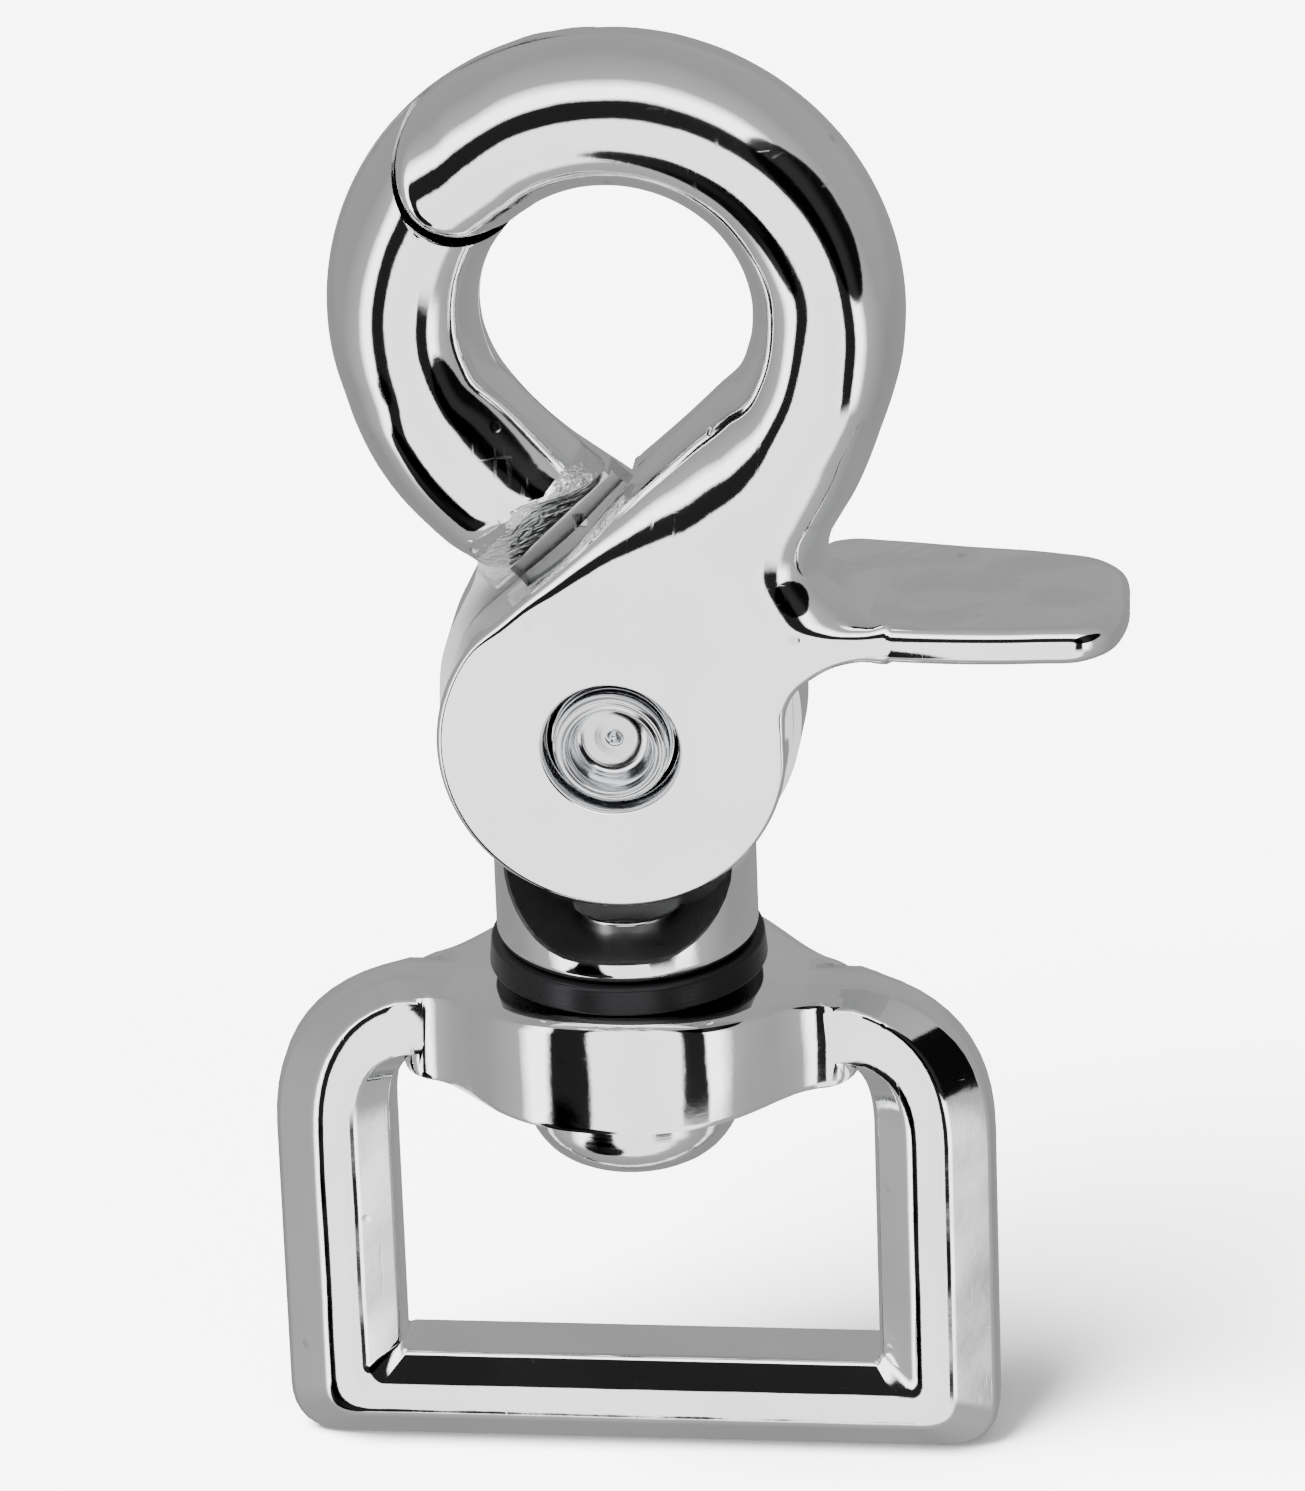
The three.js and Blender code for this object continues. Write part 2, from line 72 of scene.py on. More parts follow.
# The parting line's step and the spring's pocket, in millimetres.
PARTING_STEP = 0.02
SPRING_POCKET_RADIUS = 5.2
SPRING_POCKET_DEPTH = 2.0
Point = tuple[float, float]
Point3 = tuple[float, float, float]


class Body(Enum):
    """The CAD bodies that pieces ride on."""

    FIXED = "fixed_jaw"
    MOVING = "moving_jaw"
    EYE = "strap_eye"


class Side(Enum):
    """Which face of the hook a half of a jaw looks out of."""

    FRONT = -1
    BACK = 1


# ---- Plane geometry ---------------------------------------------------------------------


def polar(centre: Point, radius: float, degrees: float) -> Point:
    """A point on a circle.

    Args:
        centre: The circle's centre.
        radius: Its radius.
        degrees: The angle from the first axis, anticlockwise.

    Returns:
        The point.
    """
    angle = math.radians(degrees)
    return centre[0] + radius * math.cos(angle), centre[1] + radius * math.sin(angle)


def lerp(a: Point, b: Point, share: float) -> Point:
    """The point a share of the way from a to b."""
    return a[0] + (b[0] - a[0]) * share, a[1] + (b[1] - a[1]) * share


@dataclass(frozen=True)
class Station:
    """One place along the rim of a casting.

    Args:
        edge: Where the rim's outline stands, in the plane of the casting.
        crest: Where the rounding that starts there runs out into the flat face.
        drop: How far the rounding comes down below the face.
        cut: 0 on a side that is round from its widest place, up to 1 where the outline cuts
            straight across the crest.
        lip: Size of the small rounding along an outline that cuts across.
        slant: 0 for a round side, up to 1 for a straight slope from edge to crest.
    """

    edge: Point
    crest: Point
    drop: float = 4.3
    cut: float = 0.0
    lip: float = 0.0
    slant: float = 0.0

    def row(self) -> tuple[float, ...]:
        """The station as one row of numbers."""
        return (*self.edge, *self.crest, self.drop, self.cut, self.lip, self.slant)


def faired(stations: Sequence[Station], step: float) -> np.ndarray:
    """Runs a smooth closed curve through stations.

    Args:
        stations: The stations in order round the rim.
        step: The longest distance between two points of the result.

    Returns:
        One row per point: edge, crest, drop, cut, lip and slant.
    """
    rows = np.array([s.row() for s in stations])
    ahead, behind = np.roll(rows, -1, 0), np.roll(rows, 1, 0)
    span = np.hypot(*(ahead - rows)[:, :2].T) + np.hypot(*(ahead - rows)[:, 2:4].T) + 1e-3
    before = np.roll(span, 1)
    slope = (
        (ahead - rows) / span[:, None] * before[:, None]
        + (rows - behind) / before[:, None] * span[:, None]
    ) / (span + before)[:, None]
    made = []
    for i, length in enumerate(span):
        j = (i + 1) % len(rows)
        count = max(2, math.ceil(length / 2 / step))
        t = (np.arange(count) / count)[:, None]
        made.append(
            rows[i] * (1 + 2 * t) * (1 - t) ** 2
            + rows[j] * t**2 * (3 - 2 * t)
            + slope[i] * length * t * (1 - t) ** 2
            - slope[j] * length * t**2 * (1 - t)
        )
    points = np.concatenate(made)
    points[:, 4] = np.clip(points[:, 4], 0.05, 4.4)
    points[:, 5:] = np.clip(points[:, 5:], 0.0, 1.0)
    return points


# ---- Mesh tools ----------------------------------------------------------------------------


class Placement:
    """Puts millimetres about the pivot into the frame's metres."""

    def __init__(self, joints: list[dict]) -> None:
        """Reads where the pivot is.

        Args:
            joints: The frame's joints.
        """
        pivot = next(j for j in joints if j["name"] == "jaw_pivot")
        self.matrix = Matrix.Translation((0, 0, pivot["pos_m"][2])) @ Matrix.Scale(MM, 4)

    def finish(self, bm: bmesh.types.BMesh, name: str) -> bpy.types.Object:
        """Turns a millimetre bmesh into an object of the scene.

        Args:
            bm: The shape, which is used up.
            name: The object's name.

        Returns:
            The new object, at the origin and unturned.
        """
        bmesh.ops.transform(bm, matrix=self.matrix, verts=bm.verts)
        bmesh.ops.recalc_face_normals(bm, faces=bm.faces)
        mesh = bpy.data.meshes.new(name)
        bm.to_mesh(mesh)
        bm.free()
        piece = bpy.data.objects.new(name, mesh)
        bpy.context.scene.collection.objects.link(piece)
        return piece


def closed_loop(bm: bmesh.types.BMesh, points: Iterable[Point3]) -> list[bmesh.types.BMEdge]:
    """Adds a closed ring of edges.

    Args:
        bm: The mesh to add to.
        points: The ring's corners in order.

    Returns:
        Its edges.
    """
    verts = [bm.verts.new(p) for p in points]
    return [bm.edges.new((verts[i - 1], verts[i])) for i in range(len(verts))]


def skin(bm: bmesh.types.BMesh, rings: Sequence[list[bmesh.types.BMEdge]]) -> None:
    """Joins each ring of edges to the next with a band of faces.

    Args:
        bm: The mesh to add to.
        rings: The rings in order.
    """
    for lower, upper in zip(rings, rings[1:]):
        bmesh.ops.bridge_loops(bm, edges=lower + upper)


def cap(bm: bmesh.types.BMesh, *rings: list[bmesh.types.BMEdge]) -> None:
    """Fills the flat between an outer ring of edges and any rings inside it.

    Args:
        bm: The mesh to add to.
        rings: The outer ring, then those inside it.
    """
    edges = [edge for ring in rings for edge in ring]
    bmesh.ops.triangle_fill(bm, use_beauty=True, use_dissolve=False, edges=edges)


def turned(
    profile: Sequence[Point], axis: str, centre: Point = (0, 0), steps: int = 96,
) -> bmesh.types.BMesh:
    """Spins a profile into a closed solid.

    Args:
        profile: Radius and height pairs, from axis to axis, or a closed outline off the axis.
        axis: "Y" about the pivot or "Z" about the swivel.
        centre: Where the axis passes, in the plane across it.
        steps: How many steps a full turn takes.

    Returns:
        The solid.
    """
    bm = bmesh.new()
    if axis == "Z":
        points = [(centre[0] + r, centre[1], h) for r, h in profile]
        middle, along = (centre[0], centre[1], 0), (0, 0, 1)
    else:
        points = [(centre[0] + r, h, centre[1]) for r, h in profile]
        middle, along = (centre[0], 0, centre[1]), (0, 1, 0)
    verts = [bm.verts.new(p) for p in points]
    edges = [bm.edges.new(pair) for pair in zip(verts, verts[1:])]
    if profile[0][0] > 0:
        edges.append(bm.edges.new((verts[-1], verts[0])))
    bmesh.ops.spin(
        bm, geom=verts + edges, cent=middle, axis=along, angle=math.tau, steps=steps,
        use_merge=True, use_duplicate=False,
    )
    bmesh.ops.remove_doubles(bm, verts=bm.verts, dist=1e-4)
    return bm


def eased(profile: Sequence[Point], radii: Sequence[float], steps: int = 4) -> list[Point]:
    """Rounds the corners of an open profile.

    Args:
        profile: The corners.
        radii: How far back from each corner its rounding starts; 0 leaves it sharp.
        steps: Points per rounding.

    Returns:
        The rounded profile.
    """
    made: list[Point] = []
    last = len(profile) - 1
    for i, (corner, radius) in enumerate(zip(profile, radii)):
        if radius == 0 or i in (0, last):
            made.append(corner)
            continue
        before, after = profile[i - 1], profile[i + 1]
        start = lerp(corner, before, radius / math.dist(corner, before))
        end = lerp(corner, after, radius / math.dist(corner, after))
        for k in range(steps + 1):
            t = k / steps
            made.append(lerp(lerp(start, corner, t), lerp(corner, end, t), t))
    return made


class Joiner:
    """Joins and cuts finished solids with boolean modifiers."""

    @staticmethod
    def _apply(base: bpy.types.Object, tool: bpy.types.Object, operation: str) -> None:
        """Runs one boolean on base and throws the tool away.

        Args:
            base: The object that is changed.
            tool: The object that joins or cuts it.
            operation: "UNION" or "DIFFERENCE".
        """
        modifier = base.modifiers.new(operation.lower(), "BOOLEAN")
        modifier.operation = operation
        modifier.solver = "MANIFOLD"
        modifier.object = tool
        bpy.context.view_layer.update()
        graph = bpy.context.evaluated_depsgraph_get()
        mesh = bpy.data.meshes.new_from_object(base.evaluated_get(graph))
        base.modifiers.clear()
        old = base.data
        base.data = mesh
        bpy.data.meshes.remove(old)
        bpy.data.objects.remove(tool)

    @classmethod
    def join(cls, base: bpy.types.Object, tool: bpy.types.Object) -> None:
        """Adds a solid to base."""
        cls._apply(base, tool, "UNION")

    @classmethod
    def cut(cls, base: bpy.types.Object, tool: bpy.types.Object) -> None:
        """Takes a solid out of base."""
        cls._apply(base, tool, "DIFFERENCE")


def smoothed(piece: bpy.types.Object, name: str, sharp: float = 32.0) -> None:
    """Gives a finished solid its name and its shading.

    Args:
        piece: The solid.
        name: The piece's name.
        sharp: Edges that turn by more than this many degrees stay crisp.
    """
    piece.name = name
    piece.data.name = name
    piece.data.polygons.foreach_set("use_smooth", [True] * len(piece.data.polygons))
    piece.data.set_sharp_from_angle(angle=math.radians(sharp))
    weighted = piece.modifiers.new("flat_faces_first", "WEIGHTED_NORMAL")
    weighted.keep_sharp = True
    weighted.weight = 90


# ---- Shapes shared by the two jaws ------------------------------------------------------------


@dataclass(frozen=True)
class HookForm:
    """Sizes that both jaws share, in millimetres about the pivot."""

    pivot: Point = (0.0, 0.0)
    ring: Point = (0.6, 23.5)
    ring_inner: float = 7.2
    ring_outer: float = 15.18
    crest_half: float = 0.15
    face: float = 4.5
    seam: float = 0.05
    nose_radius: float = 4.0
    nose_gap: float = 0.12
    moving_nose: float = 128.0
    fixed_nose: float = 101.5
    moving_disc: float = 9.3
    fixed_disc: float = 9.7
    disc_edge: float = 0.35

    @property
    def ring_middle(self) -> float:
        """Radius of the ring's crest."""
        return (self.ring_inner + self.ring_outer) / 2

    @property
    def flank(self) -> float:
        """Width of the rounding on either side of the crest."""
        return (self.ring_outer - self.ring_inner) / 2 - self.crest_half

    def on_ring(self, degrees: float, outer: bool, crest_shift: float = 0.0) -> Station:
        """A station on the plain round bar of the ring.

        Args:
            degrees: The angle round the ring.
            outer: True on the outside of the ring, False inside the opening.
            crest_shift: How many degrees further the crest's point lies.

        Returns:
            The station.
        """
        edge = self.ring_outer if outer else self.ring_inner
        side = self.crest_half if outer else -self.crest_half
        crest = polar(self.ring, self.ring_middle + side, degrees + crest_shift)
        return Station(polar(self.ring, edge, degrees), crest)

    def on_disc(self, degrees: float, radius: float) -> Station:
        """A station on a pivot disc's thin rounded edge.

        Args:
            degrees: The angle round the disc.
            radius: The disc's radius.

        Returns:
            The station.
        """
        inside = polar(self.pivot, radius - self.disc_edge, degrees)
        return Station(polar(self.pivot, radius, degrees), inside, self.disc_edge)

    def nose_frame(self, degrees: float) -> tuple[Point, Point, Point]:
        """Centre of a nose, its outward and its forward direction.

        Args:
            degrees: Where the nose's centre lies round the ring.

        Returns:
            The centre and the two directions.
        """
        a = math.radians(degrees)
        centre = polar(self.ring, self.ring_middle, degrees)
        return centre, (math.cos(a), math.sin(a)), (-math.sin(a), math.cos(a))

    def nose(self, degrees: float, turns: Sequence[float]) -> list[Station]:
        """Stations round the end of a half-lap nose.

        Args:
            degrees: Where the nose's centre lies round the ring.
            turns: Angles round the nose, 0 on the ring's outside and 180 inside.

        Returns:
            The stations.
        """
        centre, out, ahead = self.nose_frame(degrees)
        cap_centre = polar(self.ring, self.ring_middle, degrees + 8.5)
        made = []
        for turn in turns:
            c, s = math.cos(math.radians(turn)), math.sin(math.radians(turn))
            r = self.nose_radius
            edge = (centre[0] + r * (c * out[0] + s * ahead[0]), centre[1] + r * (c * out[1] + s * ahead[1]))
            k = self.crest_half
            crest = (
                cap_centre[0] + k * (c * out[0] + s * ahead[0]),
                cap_centre[1] + k * (c * out[1] + s * ahead[1]),
            )
            cut = min(1.0, (r - r * abs(c)) / self.flank)
            made.append(Station(edge, crest, cut=cut, lip=0.9 * s**0.5))
        return made

    def pocket(self, degrees: float, turns: Sequence[float]) -> list[Station]:
        """Stations round the pocket that takes the other jaw's nose.

        Args:
            degrees: Where the nose's centre lies round the ring.
            turns: Angles round the nose, 0 on the ring's outside and 180 inside.

        Returns:
            The stations.
        """
        centre, out, ahead = self.nose_frame(degrees)
        r = self.nose_radius + self.nose_gap
        made = []
        for turn in turns:
            c, s = math.cos(math.radians(turn)), math.sin(math.radians(turn))
            edge = (centre[0] + r * (c * out[0] + s * ahead[0]), centre[1] + r * (c * out[1] + s * ahead[1]))
            crest = polar(self.ring, self.ring_middle + self.crest_half * c, degrees + 22.6)
            cut = min(1.0, max(0.02, (self.nose_radius - r * abs(c)) / self.flank))
            made.append(Station(edge, crest, cut=cut, lip=0.25))
        return made


def mirrored(stations: Iterable[Station]) -> list[Station]:
    """The same stations seen from behind, mirrored about the pivot."""
    return [replace(s, edge=(-s.edge[0], s.edge[1]), crest=(-s.crest[0], s.crest[1])) for s in stations]


class CastHalf:
    """Half the depth of a cast jaw: a flat seam, a rounded rim and a flat face."""

    RINGS = 14
    STEP = 0.5

    def __init__(self, form: HookForm, stations: Sequence[Station], side: Side, seam: float) -> None:
        """Keeps the shape's description.

        Args:
            form: The sizes that both jaws share.
            stations: The rim, in order.
            side: The face that the half looks out of.
            seam: Height of the half's inner face, towards its outer one.
        """
        self.form = form
        self.rows = faired(stations, self.STEP)
        self.side = side.value
        self.seam = seam

    def _ring(self, share: float) -> list[Point3]:
        """Points of the rim at one share of the way up its rounding.

        Args:
            share: 0 at the outline, 1 at the crest.

        Returns:
            The points in order.
        """
        edge, crest = self.rows[:, :2], self.rows[:, 2:4]
        drop, cut, lip = self.rows[:, 4], self.rows[:, 5], self.rows[:, 6]
        t = share * math.pi / 2
        inwards = 1 - math.cos(t)
        plan = edge + (crest - edge) * inwards
        slant = self.rows[:, 7]
        c = (1 - cut) * math.cos(t)
        height = self.form.face - drop * ((1 - slant) * (1 - np.sqrt(1 - c**2)) + slant * c)
        gone = np.hypot(*(crest - edge).T) * inwards
        near = 1 - np.minimum(1.0, gone / np.maximum(lip, 1e-6))
        height = height - lip * (1 - np.sqrt(np.maximum(0.0, 1 - near**2)))
        height = np.maximum(height, self.seam + 0.02)
        return [(x, self.side * h, z) for (x, z), h in zip(plan, height)]

    def build(self, hole: Sequence[Point] = ()) -> bmesh.types.BMesh:
        """Makes the closed half.

        Args:
            hole: Radius and height pairs of a round hole about the pivot, from the outer
                face to the seam.

        Returns:
            The solid.
        """
        bm = bmesh.new()
        foot = [(x, self.side * self.seam, z) for x, z in self.rows[:, :2]]
        rings = [closed_loop(bm, foot)]
        rings += [closed_loop(bm, self._ring(k / self.RINGS)) for k in range(self.RINGS + 1)]
        skin(bm, rings)
        bore = []
        for radius, height in hole:
            around = [polar(self.form.pivot, radius, 360 * k / 72) for k in range(72)]
            bore.append(closed_loop(bm, [(x, self.side * height, z) for x, z in around]))
        skin(bm, bore)
        cap(bm, rings[-1], *bore[:1])
        cap(bm, rings[0], *bore[-1:])
        return bm


# ---- Jaws --------------------------------------------------------------------------------------


# Each row: edge x and z, crest x and z, drop, then slant where the side is not round.
LEVER_ROOT = (
    (15.05, 18.90, 11.75, 19.30, 4.3), (14.40, 17.00, 10.90, 17.60, 4.3),
    (13.65, 14.95, 9.60, 16.00, 4.3), (12.95, 13.40, 8.60, 14.40, 4.3),
    (12.20, 12.10, 7.75, 12.70, 4.3), (11.60, 10.95, 7.15, 11.10, 4.3),
    (11.40, 9.80, 7.00, 9.70, 4.2), (11.65, 8.70, 7.50, 8.40, 3.9),
    (12.30, 7.90, 8.70, 7.15, 3.2), (13.10, 7.42, 10.60, 6.55, 2.0),
    (13.90, 7.22, 12.90, 6.42, 1.0), (15.10, 7.17, 14.80, 6.40, 0.87), (15.60, 6.15, 15.10, 6.15, 0.8),
)
LEVER_ARMPIT = (
    (15.10, 5.13, 14.80, 5.90, 0.87), (13.40, 5.08, 13.20, 5.75, 0.75),
    (12.00, 4.80, 11.85, 5.35, 0.6), (10.75, 4.10, 10.40, 4.60, 0.5),
    (9.85, 3.30, 9.40, 3.65, 0.5), (9.35, 2.30, 8.85, 2.50, 0.45),
)
CROSSING = (
    (-5.90, 7.10, -5.50, 6.65, 0.5), (-4.60, 8.30, -4.15, 7.75, 0.6),
    (-3.30, 9.45, -2.60, 8.60, 0.8), (-2.00, 10.70, -1.10, 9.50, 1.1),
    (-0.90, 11.90, 0.20, 10.30, 1.7), (0.20, 13.10, 1.60, 10.90, 2.5),
    (1.30, 14.30, 3.00, 11.40, 3.3), (2.40, 15.50, 4.40, 11.80, 3.9),
    (3.60, 16.70, 5.70, 12.50, 4.2), (4.80, 17.90, 7.00, 13.60, 4.3),
    (5.80, 18.90, 8.15, 15.20, 4.3), (6.84, 19.90, 9.15, 17.10, 4.3),
    (7.55, 21.64, 10.25, 19.40, 4.3), (7.79, 23.12, 10.95, 22.20, 4.3),
)
CROSSING_BEHIND = (
    (5.40, 8.75, 6.00, 9.30, 0.7), (3.70, 10.45, 4.30, 11.00, 0.7),
    (2.10, 12.05, 2.75, 12.55, 0.8), (1.00, 13.15, 2.20, 13.30, 1.2),
)
FIXED_SIDE = (
    (-13.40, 17.40, -9.95, 18.40, 4.3, 0.0), (-12.50, 15.20, -9.30, 16.98, 4.3, 0.0),
    (-11.20, 13.10, -8.30, 15.50, 4.3, 0.0), (-9.90, 11.60, -7.25, 14.30, 4.3, 0.0),
    (-8.70, 10.40, -6.30, 13.52, 4.3, 0.0), (-7.65, 9.50, -5.55, 13.20, 4.3, 0.2),
    (-6.75, 8.60, -5.30, 13.00, 4.3, 0.8), (-5.60, 8.55, -5.12, 13.05, 4.3, 1.0),
    (-4.30, 9.80, -4.95, 13.15, 4.3, 1.0), (-3.00, 11.10, -4.80, 13.30, 4.3, 1.0),
    (-1.70, 12.40, -4.75, 13.45, 4.3, 1.0), (-0.55, 13.55, -4.85, 13.60, 4.3, 0.7),
    (-0.30, 14.35, -5.10, 13.75, 4.3, 0.2), (-1.30, 15.50, -5.75, 14.15, 4.3, 0.0),
    (-2.60, 16.80, -6.85, 14.80, 4.3, 0.0), (-3.90, 18.15, -8.05, 15.98, 4.3, 0.0),
    (-5.00, 19.35, -9.02, 17.40, 4.3, 0.0),
)
FIXED_BACK_NECK = (
    (13.75, 18.60, 10.40, 19.20, 4.3), (13.10, 16.80, 9.60, 17.50, 4.3),
    (12.00, 14.40, 8.60, 15.60, 4.3), (10.80, 12.60, 7.60, 13.90, 4.3),
    (9.40, 11.00, 6.90, 12.30, 4.0), (8.20, 9.90, 6.60, 10.70, 2.6),
    (7.30, 8.90, 6.40, 8.90, 1.4), (7.45, 7.80, 6.70, 7.50, 0.9),
    (8.15, 6.30, 7.45, 5.95, 0.7), (8.95, 4.60, 8.30, 4.30, 0.6),
    (9.45, 3.00, 8.90, 2.80, 0.5),
)
FIXED_BACK_CROSSING = (
    (-5.40, 8.30, -4.90, 7.80, 0.6), (-3.90, 9.80, -3.30, 9.10, 0.8),
    (-2.40, 11.30, -1.50, 10.30, 1.1), (-0.90, 12.80, 0.50, 11.20, 1.8),
    (0.60, 14.30, 2.60, 11.90, 2.8), (2.10, 15.80, 4.50, 12.80, 3.8),
    (3.40, 17.10, 6.00, 14.20, 4.2), (4.40, 18.20, 7.20, 15.90, 4.3),
    (5.64, 19.90, 8.40, 17.70, 4.3), (6.35, 21.60, 9.50, 20.00, 4.3),
    (6.59, 23.10, 10.05, 22.50, 4.3),
)


def stations_of(rows: Sequence[tuple[float, ...]]) -> list[Station]:
    """Reads rows of edge, crest, drop and slant."""
    return [Station((r[0], r[1]), (r[2], r[3]), r[4], slant=r[5] if len(r) > 5 else 0.0) for r in rows]


def pulled_in(stations: list[Station]) -> list[Station]:
    """Steps one half of a jaw in by a hair, which leaves the die's parting line.

    Args:
        stations: The half's rim.

    Returns:
        The rim, drawn in.
    """
    made = []
    for s in stations:
        run = max(math.dist(s.edge, s.crest), 1e-6)
        made.append(replace(s, edge=lerp(s.edge, s.crest, PARTING_STEP / run)))
    return made


def nose_clearance(form: HookForm, degrees: float, side: Side, place: Placement) -> bpy.types.Object:
    """A round cutter that keeps one jaw's pocket clear of the other jaw's nose.

    Args:
        form: The sizes that both jaws share.
        degrees: Where the nose's centre lies round the ring.
        side: The face that the nose looks out of.
        place: Where the frame has the pivot.

    Returns:
        The cutter.
    """
    centre = polar(form.ring, form.ring_middle, degrees)
    radius = form.nose_radius + form.nose_gap
    inner, outer = sorted((-0.4 * side.value, 6.0 * side.value))
    profile = [(0, inner), (radius, inner), (radius, outer), (0, outer)]
    return place.finish(turned(profile, "Y", centre, 128), "nose_clearance")


def cut_spring_pocket(
    jaw: bpy.types.Object, form: HookForm, degrees: float, side: Side, place: Placement,
) -> None:
    """Hollows a jaw for half of the spring's coil and the leg that bears on it.

    Args:
        jaw: The jaw, which is changed.
        form: The sizes that both jaws share.
        degrees: Direction of the leg from the pivot.
        side: The face that the hollowed half looks out of.
        place: Where the frame has the pivot.
    """
    low, high = sorted((-0.1 * side.value, SPRING_POCKET_DEPTH * side.value))
    radius = SPRING_POCKET_RADIUS
    coil = turned([(0, low), (radius, low), (radius, high), (0, high)], "Y", form.pivot, 96)
    Joiner.cut(jaw, place.finish(coil, "coil_pocket"))
    leg = bmesh.new()
    bmesh.ops.create_cube(leg, size=1)
    bmesh.ops.scale(leg, vec=(9.4, high - low, 1.9), verts=leg.verts)
    bmesh.ops.translate(leg, vec=(4.7, (low + high) / 2, 0), verts=leg.verts)
    bmesh.ops.rotate(leg, matrix=Matrix.Rotation(-math.radians(degrees), 3, "Y"), verts=leg.verts)
    Joiner.cut(jaw, place.finish(leg, "leg_slot"))


@dataclass
class Jaws:
    """Outlines of the two crossed jaws."""

    form: HookForm = field(default_factory=HookForm)

    @staticmethod
    def _outer_ring(form: HookForm, start: float) -> list[Station]:
        """Outside of the ring, clockwise from a nose to the lower right.

        Args:
            form: The sizes that both jaws share.
            start: Where the nose's centre lies round the ring.

        Returns:
            The stations.
        """
        shifts = [(0, 7.5), (9, 3.5), (18, 1.0)]
        made = [form.on_ring(start - back, True, shift) for back, shift in shifts]
        count = 8
        first, last = start - 30, -8.0
        angles = [first + (last - first) * k / count for k in range(count + 1)]
        return made + [form.on_ring(a, True) for a in angles]

    @staticmethod
    def _inner_ring(form: HookForm, end: float) -> list[Station]:
        """Inside of the ring, anticlockwise from the right to a nose.

        Args:
            form: The sizes that both jaws share.
            end: Where the nose's centre lies round the ring.

        Returns:
            The stations.
        """
        count = 6
        first, last = 12.0, end - 30
        angles = [first + (last - first) * k / count for k in range(count + 1)]
        made = [form.on_ring(a, False) for a in angles]
        shifts = [(18, 1.0), (9, 3.5), (0, 7.5)]
        return made + [form.on_ring(end - back, False, shift) for back, shift in shifts]

    def moving_front(self) -> list[Station]:
        """The moving jaw's front half: nose, ring, neck, lever root and disc.

        Returns:
            The stations, in order round the rim.
        """
        form = self.form
        made = self._outer_ring(form, form.moving_nose)
        made += stations_of(LEVER_ROOT + LEVER_ARMPIT)
        made += [form.on_disc(a, form.moving_disc) for a in range(6, -219, -14)]
        made += stations_of(CROSSING)
        made += self._inner_ring(form, form.moving_nose)
        return made + form.nose(form.moving_nose, (166, 150, 132, 112, 90, 68, 48, 30, 14))

    def moving_back(self) -> list[Station]:
        """The moving jaw's rear half, which stops at the crossing behind the neck.

        Returns:
            The stations, in order round the rim.
        """
        form = self.form
        nose = form.fixed_nose
        turns = (172, 160, 145, 125, 105, 90, 75, 55, 35, 20, 8)
        made = [self._behind(s, nose) for s in form.pocket(nose, turns)]
        made += [form.on_ring(nose - d, True, s) for d, s in ((5, -17), (13, -10), (22, -3), (31, 0))]
        made += [form.on_ring(a, True) for a in (60, 48, 36, 24, 12, 2, -8)]
        made += stations_of(LEVER_ROOT + LEVER_ARMPIT[:3])
        clear = form.fixed_disc + 0.3
        for angle in (26, 32, 38, 44):
            outer = polar(form.pivot, clear + 0.7, angle)
            made.append(Station(polar(form.pivot, clear, angle), outer, 0.6))
        made += stations_of(CROSSING_BEHIND + CROSSING[6:])
        made += [form.on_ring(a, False) for a in (12, 24, 36, 48, 60)]
        return made + [
            form.on_ring(nose - d, False, s) for d, s in ((31, 0), (22, -3), (13, -10), (5, -17))
        ]

    def _behind(self, station: Station, nose: float) -> Station:
        """Reflects a pocket station across the nose's centre line, to face the other way.

        Args:
            station: The station.
            nose: Where the nose's centre lies round the ring.

        Returns:
            The reflected station.
        """
        a = math.radians(2 * nose)
        ring = self.form.ring

        def flip(p: Point) -> Point:
            """Reflects one point.

            Args:
                p: The point.

            Returns:
                Its reflection.
            """
            x, z = p[0] - ring[0], p[1] - ring[1]
            across = x * math.cos(a) + z * math.sin(a)
            return ring[0] + across, ring[1] + x * math.sin(a) - z * math.cos(a)

        return replace(station, edge=flip(station.edge), crest=flip(station.crest))

    def fixed_front(self) -> list[Station]:
        """The fixed jaw's front half: the left of the ring down to the cast shoulder.

        Returns:
            The stations, in order round the rim.
        """
        form = replace(self.form, crest_half=0.12)
        nose = form.moving_nose
        made = form.pocket(nose, (172, 160, 145, 125, 105, 90, 75, 55, 35, 20, 8))
        made += [form.on_ring(nose + d, True, s) for d, s in ((5, 17), (13, 10), (22, 3), (31, 0))]
        made += [form.on_ring(a, True) for a in (170, 180, 190, 199)]
        made += stations_of(FIXED_SIDE)
        made += [form.on_ring(a, False) for a in (207, 198, 188, 178, 168)]
        return made + [
            form.on_ring(nose + d, False, s) for d, s in ((31, 0), (22, 3), (13, 10), (5, 17))
        ]

    def fixed_back(self) -> list[Station]:
        """The fixed jaw's rear half, drawn as it is seen from behind.

        Returns:
            The stations, in order round the rim.
        """
        form = replace(self.form, ring=(-self.form.ring[0], self.form.ring[1]))
        nose = 180 - form.fixed_nose
        made = self._outer_ring(form, nose)
        made += stations_of(FIXED_BACK_NECK)
        made += [form.on_disc(a, form.fixed_disc) for a in range(6, -219, -14)]
        made += stations_of(FIXED_BACK_CROSSING)
        made += self._inner_ring(form, nose)
        made += form.nose(nose, (166, 150, 132, 112, 90, 68, 48, 30, 14))
        return mirrored(made)


